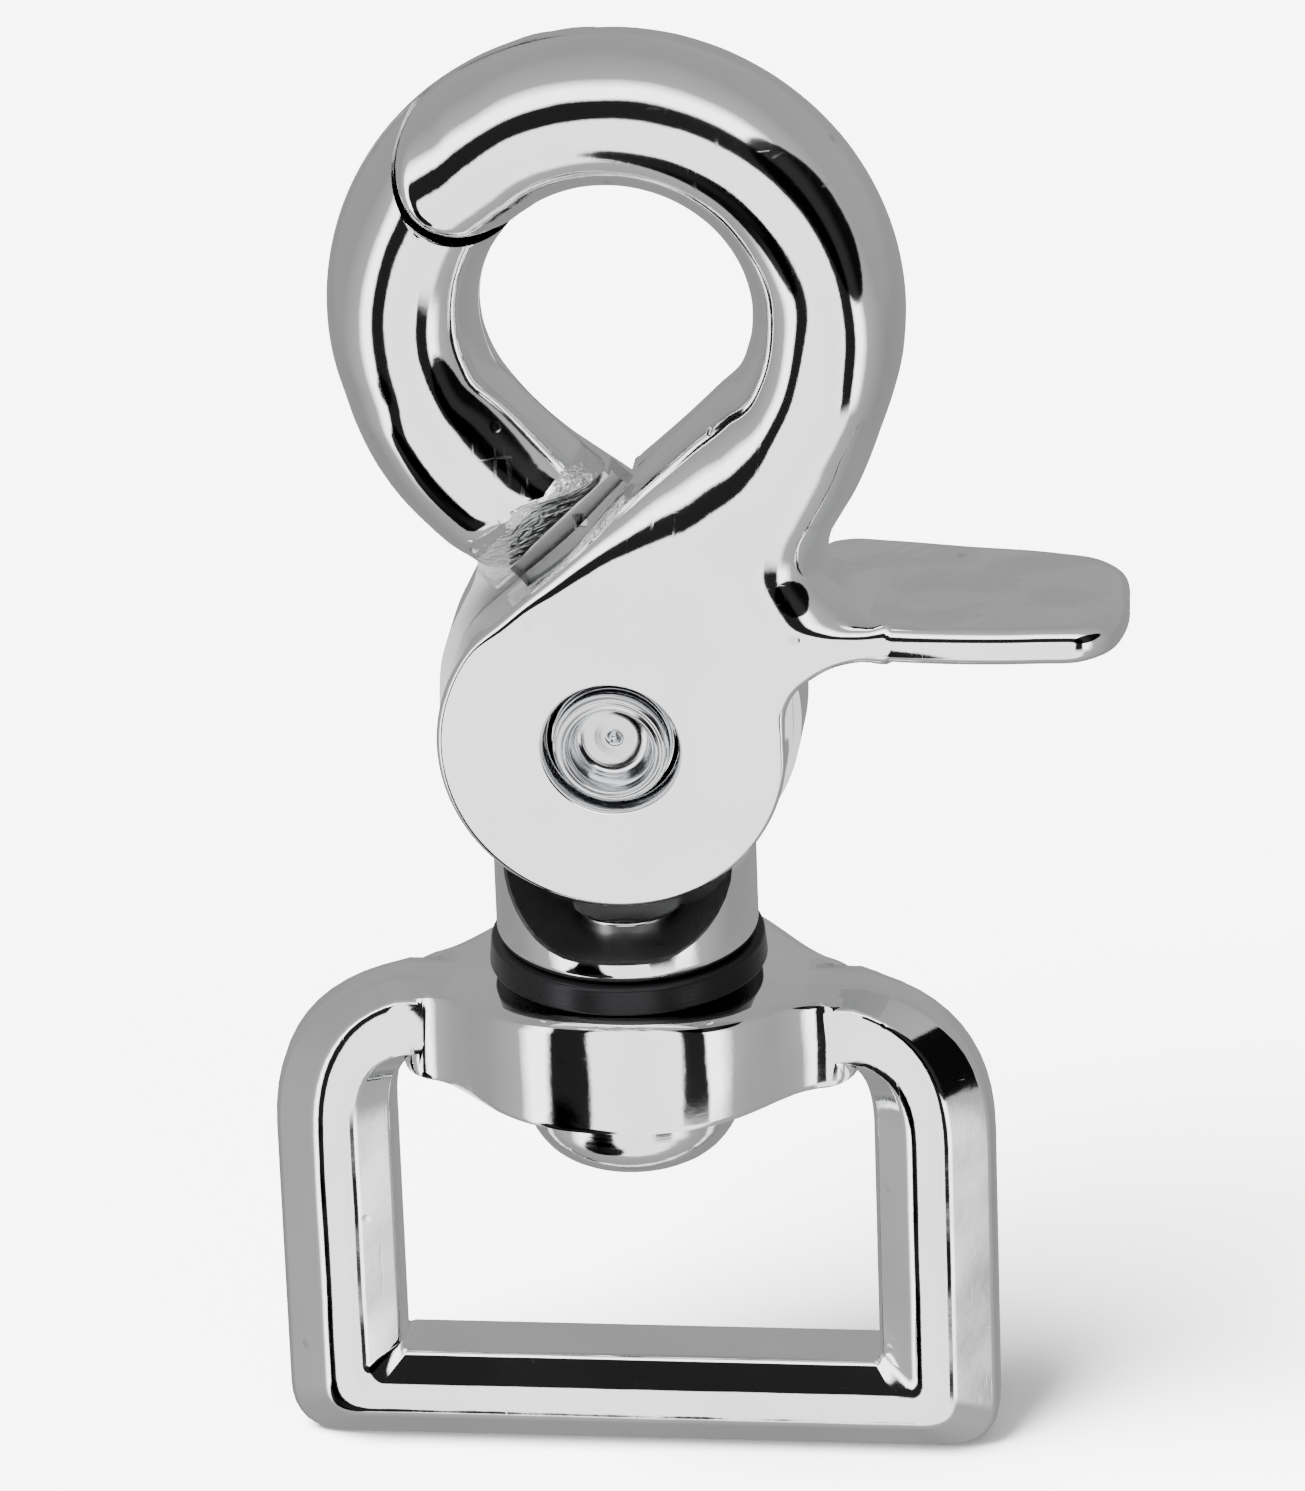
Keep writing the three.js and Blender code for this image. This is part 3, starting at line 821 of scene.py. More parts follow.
class MovingJaw:
    """The jaw with the thumb lever."""

    # Direction of the spring's leg from the pivot, in degrees.
    SPRING_LEG = 60.0

    def __init__(self, jaws: Jaws, place: Placement) -> None:
        """Keeps the outlines and the placement.

        Args:
            jaws: The outlines.
            place: Where the frame has the pivot.
        """
        self.jaws, self.place = jaws, place

    def _lever(self) -> bmesh.types.BMesh:
        """The thumb lever: a flat tongue with rounded edges.

        Returns:
            The solid.
        """
        points = (
            (14.6, -4.5), (22.6, -4.5), (25.0, -4.15), (26.5, -2.8), (27.12, -0.6), (27.14, 1.6),
            (26.7, 4.2), (25.3, 5.7), (23.2, 6.35), (18.0, 7.1), (14.0, 7.7), (11.8, 7.85),
            (10.6, 7.3), (10.1, 5.8), (10.4, 3.0), (10.9, 0.0), (11.5, -2.2), (12.4, -3.7), (13.4, -4.35),
        )
        rows = faired([Station(p, p) for p in points], 0.4)[:, :2]
        ahead = np.roll(rows, -1, 0) - np.roll(rows, 1, 0)
        inward = np.stack([-ahead[:, 1], ahead[:, 0]], 1) / np.hypot(*ahead.T)[:, None]
        bm = bmesh.new()
        middle, half, wall, inset = 6.15, 1.05, 0.25, 0.85
        rings = []
        for k in range(-8, 9):
            t = abs(k) / 8 * math.pi / 2
            height = math.copysign(wall + (half - wall) * math.sin(t), k)
            shift = inset * (1 - math.cos(t))
            rings.append(closed_loop(bm, [(x, y, middle + height) for x, y in rows + inward * shift]))
        skin(bm, rings)
        cap(bm, rings[0])
        cap(bm, rings[-1])
        return bm

    def build(self) -> bpy.types.Object:
        """Makes the whole jaw.

        Returns:
            The piece.
        """
        form = self.jaws.form
        bore = [
            (3.8, 4.5), (3.73, 4.45), (3.6, 4.15), (3.42, 3.6), (3.25, 3.25), (2.75, 3.2), (2.75, form.seam),
        ]
        front = CastHalf(form, self.jaws.moving_front(), Side.FRONT, form.seam)
        jaw = self.place.finish(front.build(bore), "moving_jaw_front")
        back = CastHalf(form, pulled_in(self.jaws.moving_back()), Side.BACK, -0.3)
        half = self.place.finish(back.build(), "moving_jaw_back")
        Joiner.cut(half, nose_clearance(form, form.fixed_nose, Side.BACK, self.place))
        Joiner.join(jaw, half)
        Joiner.join(jaw, self.place.finish(self._lever(), "moving_jaw_lever"))
        cut_spring_pocket(jaw, form, self.SPRING_LEG, Side.FRONT, self.place)
        smoothed(jaw, "moving_jaw_casting")
        return jaw


class FixedJaw:
    """The jaw that carries the neck."""

    # Direction of the spring's leg from the pivot, in degrees.
    SPRING_LEG = 100.0

    def __init__(self, jaws: Jaws, place: Placement) -> None:
        """Keeps the outlines and the placement.

        Args:
            jaws: The outlines.
            place: Where the frame has the pivot.
        """
        self.jaws, self.place = jaws, place

    def build(self) -> bpy.types.Object:
        """Makes the whole jaw.

        Returns:
            The piece.
        """
        form = self.jaws.form
        bore = [
            (4.05, 4.5), (3.95, 4.46), (3.9, 4.36), (3.9, 3.65), (2.75, 3.6), (2.75, form.seam),
        ]
        back = CastHalf(form, self.jaws.fixed_back(), Side.BACK, form.seam)
        jaw = self.place.finish(back.build(bore), "fixed_jaw_back")
        front = CastHalf(form, pulled_in(self.jaws.fixed_front()), Side.FRONT, -0.3)
        half = self.place.finish(front.build(), "fixed_jaw_front")
        Joiner.cut(half, nose_clearance(form, form.moving_nose, Side.FRONT, self.place))
        Joiner.join(jaw, half)
        neck = self._neck()
        Joiner.join(jaw, neck)
        Joiner.cut(jaw, self._recess())
        cut_spring_pocket(jaw, form, self.SPRING_LEG, Side.BACK, self.place)
        smoothed(jaw, "fixed_jaw_casting")
        return jaw

    def _neck(self) -> bpy.types.Object:
        """The round neck, hollowed in front and cut to a ledge behind.

        Returns:
            The solid.
        """
        form = self.jaws.form
        profile = eased(
            [(0, -12.7), (7.05, -12.7), (7.05, -10.6), (7.05, -7.2), (0, -7.2)],
            [0, 0.7, 0, 0.35, 0],
        )
        neck = self.place.finish(turned(profile, "Z", steps=96), "neck")
        clear = turned([(0, -12), (9.5, -12), (9.5, 0.05), (0, 0.05)], "Y", form.pivot, 128)
        Joiner.cut(neck, self.place.finish(clear, "neck_disc_clearance"))
        Joiner.cut(neck, self._block((-6.15, -9, -11.45), (6.15, 0.05, 0), 4.3, "neck_recess"))
        Joiner.cut(neck, self._block((-9, 4.5, -10.6), (9, 9, 0), 0.0, "neck_ledge"))
        return neck

    def _recess(self) -> bpy.types.Object:
        """The square recess beside the crossing, where the spring's leg bears.

        Returns:
            The cutter.
        """
        bm = bmesh.new()
        bmesh.ops.create_cube(bm, size=1)
        bmesh.ops.scale(bm, vec=(8.1, 0.9, 2.3), verts=bm.verts)
        bmesh.ops.rotate(bm, matrix=Matrix.Rotation(-math.radians(45), 3, "Y"), verts=bm.verts)
        bmesh.ops.translate(bm, vec=(-1.9, 0.4, 10.4), verts=bm.verts)
        return self.place.finish(bm, "spring_recess")

    def _block(self, low: Point3, high: Point3, corner: float, name: str) -> bpy.types.Object:
        """A box cutter, its long lower corners rounded.

        Args:
            low: The lowest corner.
            high: The highest corner.
            corner: Radius of the two lower corners that run front to back.
            name: The cutter's name.

        Returns:
            The cutter.
        """
        bm = bmesh.new()
        bmesh.ops.create_cube(bm, size=1)
        size = [h - l for l, h in zip(low, high)]
        bmesh.ops.scale(bm, vec=size, verts=bm.verts)
        bmesh.ops.translate(bm, vec=[(l + h) / 2 for l, h in zip(low, high)], verts=bm.verts)
        if corner:
            rounded = [
                e for e in bm.edges
                if abs(e.verts[0].co.y - e.verts[1].co.y) > 1 and e.verts[0].co.z < low[2] + 0.01
            ]
            bmesh.ops.bevel(
                bm, geom=rounded, affect="EDGES", offset=corner, segments=8, profile=0.5, material=-1,
            )
        return self.place.finish(bm, name)


# ---- Strap eye and the small parts --------------------------------------------------------------


@dataclass
class StrapEye:
    """Square eye of shaped bar with a hub that turns on the stud."""

    place: Placement
    half_width: float = 19.6
    bottom: float = -43.6
    side_bar: float = 6.5
    foot_bar: float = 5.7
    half_depth: float = 2.85
    hub_top: float = -14.3
    hub_bottom: float = -21.0
    hub_half: float = 11.3

    def _frame(self) -> bmesh.types.BMesh:
        """The square frame, its bar flat in front with sloping sides and eased edges.

        Returns:
            The solid.
        """
        bm = bmesh.new()
        deep, bar = self.half_depth, self.side_bar
        section = eased(
            [(0, 0), (0, -1.0), (2.5, -deep), (4.36, -deep), (bar, -1.2), (bar, 1.2), (4.36, deep),
             (2.5, deep), (0, 1.0), (0, 0)],
            [0, 0.45, 0.5, 0.5, 0.4, 0.4, 0.5, 0.5, 0.45, 0],
        )[:-1]
        rings = []
        for across, y in section:
            share = across / bar
            top_share = float(np.interp(share, (0, 0.385, 0.67, 1), (0, 0.16, 0.86, 1)))
            outline = self._outline(share, top_share)
            fuller = 0.65 * max(0.0, share - 0.67) / 0.33
            ring = []
            for i, (x, z) in enumerate(outline):
                near = max(0.0, 1 - min(i, len(outline) - 1 - i) / 8)
                ring.append(bm.verts.new((x, y + math.copysign(fuller * near, y), z)))
            rings.append(ring)
        for lower, upper in zip(rings, rings[1:] + rings[:1]):
            for i in range(len(lower)):
                bm.faces.new((lower[i - 1], lower[i], upper[i], upper[i - 1]))
        return bm

    def _outline(self, share: float, top_share: float) -> list[Point]:
        """The frame's outline part of the way across its bar.

        Args:
            share: 0 at the outside of the bar, 1 at the slot.
            top_share: The same where the bar meets the hub, whose flat is wider.

        Returns:
            Corners, the same number for every share.
        """
        w = self.half_width - self.side_bar * share
        foot = 3.0 * (1 - share) + 0.3 * share
        low = self.bottom + self.foot_bar * share
        right: list[Point] = []
        for k in range(9):
            t = k / 8
            a, b, c = (w - foot, low), (w, low), (w, low + foot)
            right.append(lerp(lerp(a, b, t), lerp(b, c, t), t))
        shoulder = (w, -24.6 + 0.9 * share)
        bend = (w, -17.0 - 2.7 * (share + top_share) / 2)
        top = (12.6 - 2.0 * top_share, -15.4 - 4.4 * top_share)
        for k in range(13):
            t = k / 12
            right.append(lerp(lerp(shoulder, bend, t), lerp(bend, top, t), t))
        right.append((6.0, -15.4 - 4.5 * top_share))
        left = [(-x, z) for x, z in reversed(right)]
        return right + left

    def _hub(self) -> bmesh.types.BMesh:
        """The hub: round in front and behind, flaring out to the bars.

        Returns:
            The solid.
        """
        quarter = (
            (self.hub_half, 2.75), (10.7, 2.9), (9.7, 3.45), (8.7, 4.35), (7.6, 5.5), (6.4, 6.65),
            (5.0, 7.6), (3.4, 8.23), (1.7, 8.59), (0.0, 8.7),
        )
        right = [(x, -y) for x, y in reversed(quarter)] + list(quarter)
        plan = right + [(-x, y) for x, y in reversed(right)][1:-1]
        rows = faired([Station(p, (p[0] * 0.93, p[1] * 0.93)) for p in plan], 0.5)
        bm = bmesh.new()
        rings = []
        for level, inset in (
            (0.0, 0.9), (0.08, 0.4), (0.25, 0.1), (0.6, 0.0),
            (-0.6, 0.0), (-0.25, 0.1), (-0.08, 0.4), (0.0, 0.9),
        ):
            top = len(rings) > 3
            ring = []
            for x, y in rows[:, :2]:
                span = abs(x) / self.hub_half
                high = self.hub_top - 1.3 * span**2
                low = self.hub_bottom + 0.2 * span**2
                shrink = 1 - inset / max(math.hypot(x, y), 3.0)
                ring.append((x * shrink, y * shrink, (high if top else low) + level))
            rings.append(closed_loop(bm, ring))
        skin(bm, rings)
        bmesh.ops.contextual_create(bm, geom=rings[0])
        bmesh.ops.contextual_create(bm, geom=rings[-1])
        bmesh.ops.triangulate(bm, faces=[f for f in bm.faces if len(f.verts) > 4])
        return bm

    def build(self) -> bpy.types.Object:
        """Makes the eye.

        Returns:
            The piece.
        """
        eye = self.place.finish(self._frame(), "eye_frame")
        Joiner.join(eye, self.place.finish(self._hub(), "eye_hub"))
        bore = turned([(0, -30), (3.2, -30), (3.2, -10), (0, -10)], "Z", steps=64)
        Joiner.cut(eye, self.place.finish(bore, "eye_bore"))
        smoothed(eye, "strap_eye_casting")
        return eye


@dataclass
class TurnedParts:
    """Stud, washer and rivet, all turned on a lathe."""

    place: Placement
    pivot: Point

    def stud(self) -> bpy.types.Object:
        """The swivel stud with its button head.

        Returns:
            The piece.
        """
        profile = eased(
            [(0, -25.98), (2.7, -25.9), (4.7, -25.2), (5.75, -23.6), (5.75, -21.75), (5.5, -21.4),
             (2.95, -21.4), (2.95, -11.0), (0, -11.0)],
            [0, 1.2, 1.0, 0.7, 0.2, 0.1, 0, 0.2, 0],
        )
        piece = self.place.finish(turned(profile, "Z"), "stud")
        smoothed(piece, "swivel_stud_turned")
        return piece

    def washer(self) -> bpy.types.Object:
        """The dark washer between the neck and the eye.

        Returns:
            The piece.
        """
        profile = eased(
            [(3.2, -14.25), (7.5, -14.25), (7.35, -12.75), (3.2, -12.75)], [0, 0.15, 0.2, 0],
        )
        piece = self.place.finish(turned(profile, "Z"), "washer")
        smoothed(piece, "swivel_washer_ring")
        return piece

    def rivet(self) -> bpy.types.Object:
        """The semi-tubular rivet: rolled rim in front, low head behind.

        Returns:
            The piece.
        """
        profile = eased(
            [(0, -2.6), (0.22, -2.75), (0.45, -3.0), (1.3, -2.9), (2.0, -3.15), (2.12, -3.7),
             (2.2, -4.4), (2.45, -4.78), (2.65, -4.55), (2.85, -4.62), (3.12, -4.3), (3.15, -3.4),
             (2.5, -3.25), (2.5, 3.7), (3.6, 3.75), (3.6, 4.5), (2.9, 4.95), (0, 5.05)],
            [0, 0.1, 0.12, 0.3, 0.3, 0.3, 0.2, 0.14, 0.08, 0.1, 0.15, 0.15, 0, 0, 0.1, 0.35, 0.5, 0],
        )
        piece = self.place.finish(turned(profile, "Y", self.pivot, 96), "rivet")
        smoothed(piece, "pivot_rivet_turned", 50)
        return piece


# ---- Shader wiring ------------------------------------------------------------------------------


Value = float | Sequence[float] | bpy.types.NodeSocket


class Wiring:
    """Adds nodes to a tree and joins them."""

    def __init__(self, tree: bpy.types.NodeTree) -> None:
        """Keeps the tree."""
        self.tree = tree

    def node(self, kind: str, **settings: str) -> bpy.types.Node:
        """Adds a node and sets its options.

        Args:
            kind: The node's type.
            settings: Its options by name.

        Returns:
            The node.
        """
        node = self.tree.nodes.new(kind)
        for name, value in settings.items():
            setattr(node, name, value)
        return node

    def feed(self, socket: bpy.types.NodeSocket, value: Value) -> None:
        """Links an output to a socket, or sets the socket to a number.

        Args:
            socket: The input that is fed.
            value: A number, a list of numbers or another node's output.
        """
        if isinstance(value, bpy.types.NodeSocket):
            self.tree.links.new(value, socket)
        else:
            socket.default_value = value

    def math(self, operation: str, *values: Value) -> bpy.types.NodeSocket:
        """Does one sum.

        Args:
            operation: What the sum does.
            values: What it works on.

        Returns:
            The result.
        """
        node = self.node("ShaderNodeMath", operation=operation)
        for socket, value in zip(node.inputs, values):
            self.feed(socket, value)
        return node.outputs[0]

    def dot(self, vector: bpy.types.NodeSocket, direction: Sequence[float]) -> bpy.types.NodeSocket:
        """Measures a vector along a direction.

        Args:
            vector: The vector.
            direction: The direction, of length 1.

        Returns:
            How far the vector goes that way.
        """
        node = self.node("ShaderNodeVectorMath", operation="DOT_PRODUCT")
        self.feed(node.inputs[0], vector)
        self.feed(node.inputs[1], direction)
        return node.outputs["Value"]

    def between(
        self, value: Value, low: float, high: float, start: float = 0.0, end: float = 1.0,
    ) -> bpy.types.NodeSocket:
        """Eases from start to end while a value goes from low to high.

        Args:
            value: The value that is followed.
            low: Where the change begins.
            high: Where it is over.
            start: The result below low.
            end: The result above high.

        Returns:
            The result.
        """
        node = self.node("ShaderNodeMapRange", interpolation_type="SMOOTHSTEP")
        for socket, item in zip(node.inputs, (value, low, high, start, end)):
            self.feed(socket, item)
        return node.outputs[0]

    def noise(
        self, vector: bpy.types.NodeSocket, scale: float, detail: float = 2.0, twist: float = 0.0,
    ) -> bpy.types.NodeSocket:
        """Smooth random values around 0.5.

        Args:
            vector: Where the pattern is read.
            scale: Features to a metre.
            detail: How many finer layers are added.
            twist: How far the pattern is stirred.

        Returns:
            The values.
        """
        node = self.node("ShaderNodeTexNoise")
        self.feed(node.inputs["Vector"], vector)
        self.feed(node.inputs["Scale"], scale)
        self.feed(node.inputs["Detail"], detail)
        self.feed(node.inputs["Distortion"], twist)
        return node.outputs[0]

    def stretched(self, vector: bpy.types.NodeSocket, scale: Sequence[float]) -> bpy.types.NodeSocket:
        """Scales a vector differently along each axis.

        Args:
            vector: The vector.
            scale: What each axis is multiplied by.

        Returns:
            The scaled vector.
        """
        node = self.node("ShaderNodeVectorMath", operation="MULTIPLY")
        self.feed(node.inputs[0], vector)
        self.feed(node.inputs[1], scale)
        return node.outputs[0]

    def ramp(self, value: bpy.types.NodeSocket, span: float, stops: Sequence[Point]) -> bpy.types.NodeSocket:
        """Reads a level off a list of stops.

        Args:
            value: Where to read.
            span: The value at the far end of the list.
            stops: Position and level pairs.

        Returns:
            The level.
        """
        node = self.node("ShaderNodeValToRGB")
        self.feed(node.inputs["Fac"], self.math("DIVIDE", value, span))
        elements = node.color_ramp.elements
        elements.remove(elements[1])
        for i, (position, level) in enumerate(stops):
            element = elements[0] if i == 0 else elements.new(position / span)
            element.position = position / span
            element.color = (level, level, level, 1)
        return node.outputs["Color"]

    def shade(self, colour: Value, level: Value) -> bpy.types.NodeSocket:
        """Makes a colour lighter or darker by a level.

        Args:
            colour: The colour.
            level: What it is multiplied by.

        Returns:
            The new colour.
        """
        node = self.node("ShaderNodeVectorMath", operation="SCALE")
        self.feed(node.inputs[0], colour)
        self.feed(node.inputs["Scale"], level)
        return node.outputs[0]


# ---- Finishes -----------------------------------------------------------------------------------


class SurfaceWear:
    """Node group with the marks that every metal surface of the hook carries."""

    NAME = "surface_wear"

    def __init__(self) -> None:
        """Makes the group."""
        group = bpy.data.node_groups.new(self.NAME, "ShaderNodeTree")
        for name, kind in (("Tone", "NodeSocketColor"), ("Roughness", "NodeSocketFloat")):
            group.interface.new_socket(name, in_out="INPUT", socket_type=kind)
        for name, kind in (
            ("Color", "NodeSocketColor"), ("Roughness", "NodeSocketFloat"), ("Height", "NodeSocketFloat"),
        ):
            group.interface.new_socket(name, in_out="OUTPUT", socket_type=kind)
        self.group = group
        self._wire()

    def _wire(self) -> None:
        """Fills the group: soft waviness, fine pits, hair scratches and a cloudy bloom."""
        w = Wiring(self.group)
        given, out = w.node("NodeGroupInput"), w.node("NodeGroupOutput")
        at = w.node("ShaderNodeTexCoord").outputs["Object"]
        cloud = w.noise(at, 110, 4)
        swell = w.noise(at, 170, 1)
        peel = w.noise(at, 1500, 2)
        cells = w.node("ShaderNodeTexVoronoi", feature="F1")
        w.feed(cells.inputs["Vector"], at)
        w.feed(cells.inputs["Scale"], 330)
        patchy = w.between(w.noise(at, 240, 2), 0.5, 0.62)
        pit = w.math("MULTIPLY", w.between(cells.outputs["Distance"], 0.05, 0.13, 1.0, 0.0), patchy)
        long_noise = w.noise(w.stretched(at, (2600, 900, 160)), 1, 2, 0.4)
        cross_noise = w.noise(w.stretched(at, (300, 900, 3100)), 1, 2, 0.6)
        lines = w.math("MAXIMUM", w.between(long_noise, 0.66, 0.72), w.between(cross_noise, 0.68, 0.73))
        scratch = w.math("MULTIPLY", lines, w.between(cloud, 0.42, 0.6))
        level = w.math("SUBTRACT", w.between(cloud, 0.3, 0.7, 0.95, 1.02), w.math("MULTIPLY", pit, 0.25))
        w.feed(out.inputs["Color"], w.shade(given.outputs["Tone"], level))
        extra = w.math("MULTIPLY_ADD", scratch, 0.10, w.between(cloud, 0.35, 0.7, -0.01, 0.035))
        w.feed(out.inputs["Roughness"], w.math("ADD", given.outputs["Roughness"], extra))
        height = w.math("MULTIPLY_ADD", swell, 0.13, w.math("MULTIPLY", peel, 0.0035))
        height = w.math("MULTIPLY_ADD", pit, -0.02, height)
        w.feed(out.inputs["Height"], w.math("MULTIPLY_ADD", scratch, -0.0015, height))


class Lines(Enum):
    """Tool marks left on a part."""

    NONE = "none"
    ABOUT_PIVOT = "rings about the pivot"
    ABOUT_SWIVEL = "rings about the swivel"
    ALONG_WIRE = "drawn wire"


@dataclass(frozen=True)
class MetalFinish:
    """One finish of the hook's metal.

    Args:
        name: The material's name.
        tone: Its colour.
        roughness: How blurred its reflections are.
        lines: Tool marks.
        depth: Depth of the tool marks, in millimetres.
        metallic: 1 for bare or plated metal, less under an oxide.
    """

    name: str
    tone: tuple[float, float, float]
    roughness: float
    lines: Lines = Lines.NONE
    depth: float = 0.0
    metallic: float = 1.0

    def _marks(self, w: Wiring, at: bpy.types.NodeSocket, pivot_z: float) -> bpy.types.NodeSocket:
        """Height of the tool marks, from 0 to 1.

        Args:
            w: The material's wiring.
            at: Object coordinates.
            pivot_z: Height of the pivot in the frame, in metres.

        Returns:
            The height.
        """
        apart = w.node("ShaderNodeSeparateXYZ")
        w.feed(apart.inputs[0], at)
        x, y, z = apart.outputs
        if self.lines is Lines.ABOUT_PIVOT:
            up = w.math("SUBTRACT", z, pivot_z)
            along = w.math("SQRT", w.math("ADD", w.math("MULTIPLY", x, x), w.math("MULTIPLY", up, up)))
        elif self.lines is Lines.ABOUT_SWIVEL:
            along = w.math("ADD", z, w.math("MULTIPLY", w.math("ADD", w.math("ABSOLUTE", x), y), 0.02))
        else:
            along = w.math("ADD", x, z)
        spot = w.node("ShaderNodeCombineXYZ")
        w.feed(spot.inputs[0], along)
        return w.noise(spot.outputs[0], 5200, 3)

    def make(self, wear: SurfaceWear, pivot_z: float) -> bpy.types.Material:
        """Makes the material.

        Args:
            wear: The shared node group.
            pivot_z: Height of the pivot in the frame, in metres.

        Returns:
            The material.
        """
        material = bpy.data.materials.new(self.name)
        material.use_nodes = True
        w = Wiring(material.node_tree)
        shader = material.node_tree.nodes["Principled BSDF"]
        shader.inputs["Metallic"].default_value = self.metallic
        shader.inputs["IOR"].default_value = 1.5
        group = w.node("ShaderNodeGroup")
        group.node_tree = wear.group
        group.inputs["Tone"].default_value = (*self.tone, 1)
        group.inputs["Roughness"].default_value = self.roughness
        at = w.node("ShaderNodeTexCoord").outputs["Object"]
        colour, rough, height = (group.outputs[n] for n in ("Color", "Roughness", "Height"))
        if self.lines is not Lines.NONE:
            marks = self._marks(w, at, pivot_z)
            height = w.math("MULTIPLY_ADD", marks, self.depth, height)
            rough = w.math("ADD", rough, w.between(marks, 0.4, 0.7, -0.03, 0.05))
        colour, rough, height = self._changed(w, at, pivot_z, (colour, rough, height))
        w.feed(shader.inputs["Base Color"], colour)
        w.feed(shader.inputs["Roughness"], rough)
        bump = w.node("ShaderNodeBump")
        bump.inputs["Strength"].default_value = 1.0
        bump.inputs["Distance"].default_value = MM
        w.feed(bump.inputs["Height"], height)
        w.feed(shader.inputs["Normal"], bump.outputs[0])
        return material

    def _changed(
        self, w: Wiring, at: bpy.types.NodeSocket, pivot_z: float, given: tuple[bpy.types.NodeSocket, ...],
    ) -> tuple[bpy.types.NodeSocket, ...]:
        """Leaves colour, roughness and height as they are."""
        return given


@dataclass(frozen=True)
class CrumpledEndAndShade(MetalFinish):
    """Bright plate with the as-cast, unpolished end of the fixed jaw's front half, and painted shade in the
    spring's recess and on the hollowed front and back ledge of the neck.
    """

    def _changed(
        self, w: Wiring, at: bpy.types.NodeSocket, pivot_z: float, given: tuple[bpy.types.NodeSocket, ...],
    ) -> tuple[bpy.types.NodeSocket, ...]:
        """Crumples, roughens and darkens the slope above the spring's recess, roughens and darkens the seam,
        and paints shade into the recess and onto the neck's hollowed front and back ledge.

        Args:
            w: The material's wiring.
            at: Object coordinates.
            pivot_z: Height of the pivot in the frame, in metres.
            given: Colour, roughness and height of the plain finish.

        Returns:
            Colour, roughness and height.
        """
        colour, rough, height = given
        half = math.sqrt(0.5)
        across = w.math("SUBTRACT", w.dot(at, (-half, 0, half)), pivot_z * half)
        along = w.math("SUBTRACT", w.dot(at, (half, 0, half)), pivot_z * half)
        depth = w.dot(at, (0, 1, 0))
        reach = w.math("MULTIPLY", w.between(along, 0.0102, 0.0108, 1, 0), w.between(along, 0.0005, 0.0009))
        slope = w.math(
            "MULTIPLY", w.between(across, 0.0119, 0.0124, 1, 0), w.between(across, 0.0094, 0.0097),
        )
        slope = w.math("MULTIPLY", slope, w.between(depth, -0.0001, 0.0001, 1, 0))
        slope = w.math("MULTIPLY", slope, reach)
        # Painted shade: this mask darkens the spring's recess as if it were shadowed.
        shade_and_seam_mask = w.math("MULTIPLY", w.between(across, 0.0099, 0.0101, 1, 0), w.between(across, 0.0066, 0.0068))
        shade_and_seam_mask = w.math("MULTIPLY", shade_and_seam_mask, w.between(depth, 0.0001, 0.0002))
        shade_and_seam_mask = w.math("MULTIPLY", w.math("MULTIPLY", shade_and_seam_mask, w.between(depth, 0.0022, 0.0024, 1, 0)), reach)
        folds = w.noise(w.stretched(at, (1.0, 0.5, 1.5)), 900, 3, 1.6)
        height = w.math("MULTIPLY_ADD", w.math("MULTIPLY", folds, slope), 0.3, height)
        # The parting seam is darkened as a dark joint.
        seam = w.math("MULTIPLY", w.between(depth, 0.00002, 0.00004), w.between(depth, 0.0002, 0.0003, 1, 0))
        apart = w.node("ShaderNodeSeparateXYZ")
        w.feed(apart.inputs[0], at)
        x, y, z = apart.outputs
        about = w.math("SQRT", w.math("ADD", w.math("MULTIPLY", x, x), w.math("MULTIPLY", y, y)))
        low = w.between(w.math("SUBTRACT", z, pivot_z), -0.0071, -0.0068, 1, 0)
        # Painted shade inside 6.7 mm of the swivel axis, on the neck's hollowed front and on its back ledge.
        neck_hollow_shade = w.math("MULTIPLY", w.between(about, 0.0066, 0.0068, 1, 0), low)
        neck_hollow_shade = w.math("MULTIPLY", neck_hollow_shade, w.between(z, pivot_z - 0.0121, pivot_z - 0.0119))
        # From here the mask holds the painted shade of the recess and the neck, together with the darker
        # seam.
        shade_and_seam_mask = w.math("MAXIMUM", w.math("MAXIMUM", shade_and_seam_mask, w.math("MULTIPLY", seam, 0.7)), neck_hollow_shade)
        # Darkening of the dulled as-cast slope, joined with the painted shade and the seam.
        dulled_cast_and_shade = w.math("MAXIMUM", w.math("MULTIPLY", slope, 0.5), shade_and_seam_mask)
        rough = w.math("MULTIPLY_ADD", shade_and_seam_mask, 0.34, w.math("MULTIPLY_ADD", slope, 0.16, rough))
        # Darkens the colour: painted shade in the recess and on the neck, the darker seam and the dulled
        # as-cast slope.
        level = w.math("MULTIPLY_ADD", neck_hollow_shade, -0.45, w.math("MULTIPLY_ADD", dulled_cast_and_shade, -0.38, 1.0))
        return w.shade(colour, level), rough, height


# ---- Studio -----------------------------------------------------------------------------------


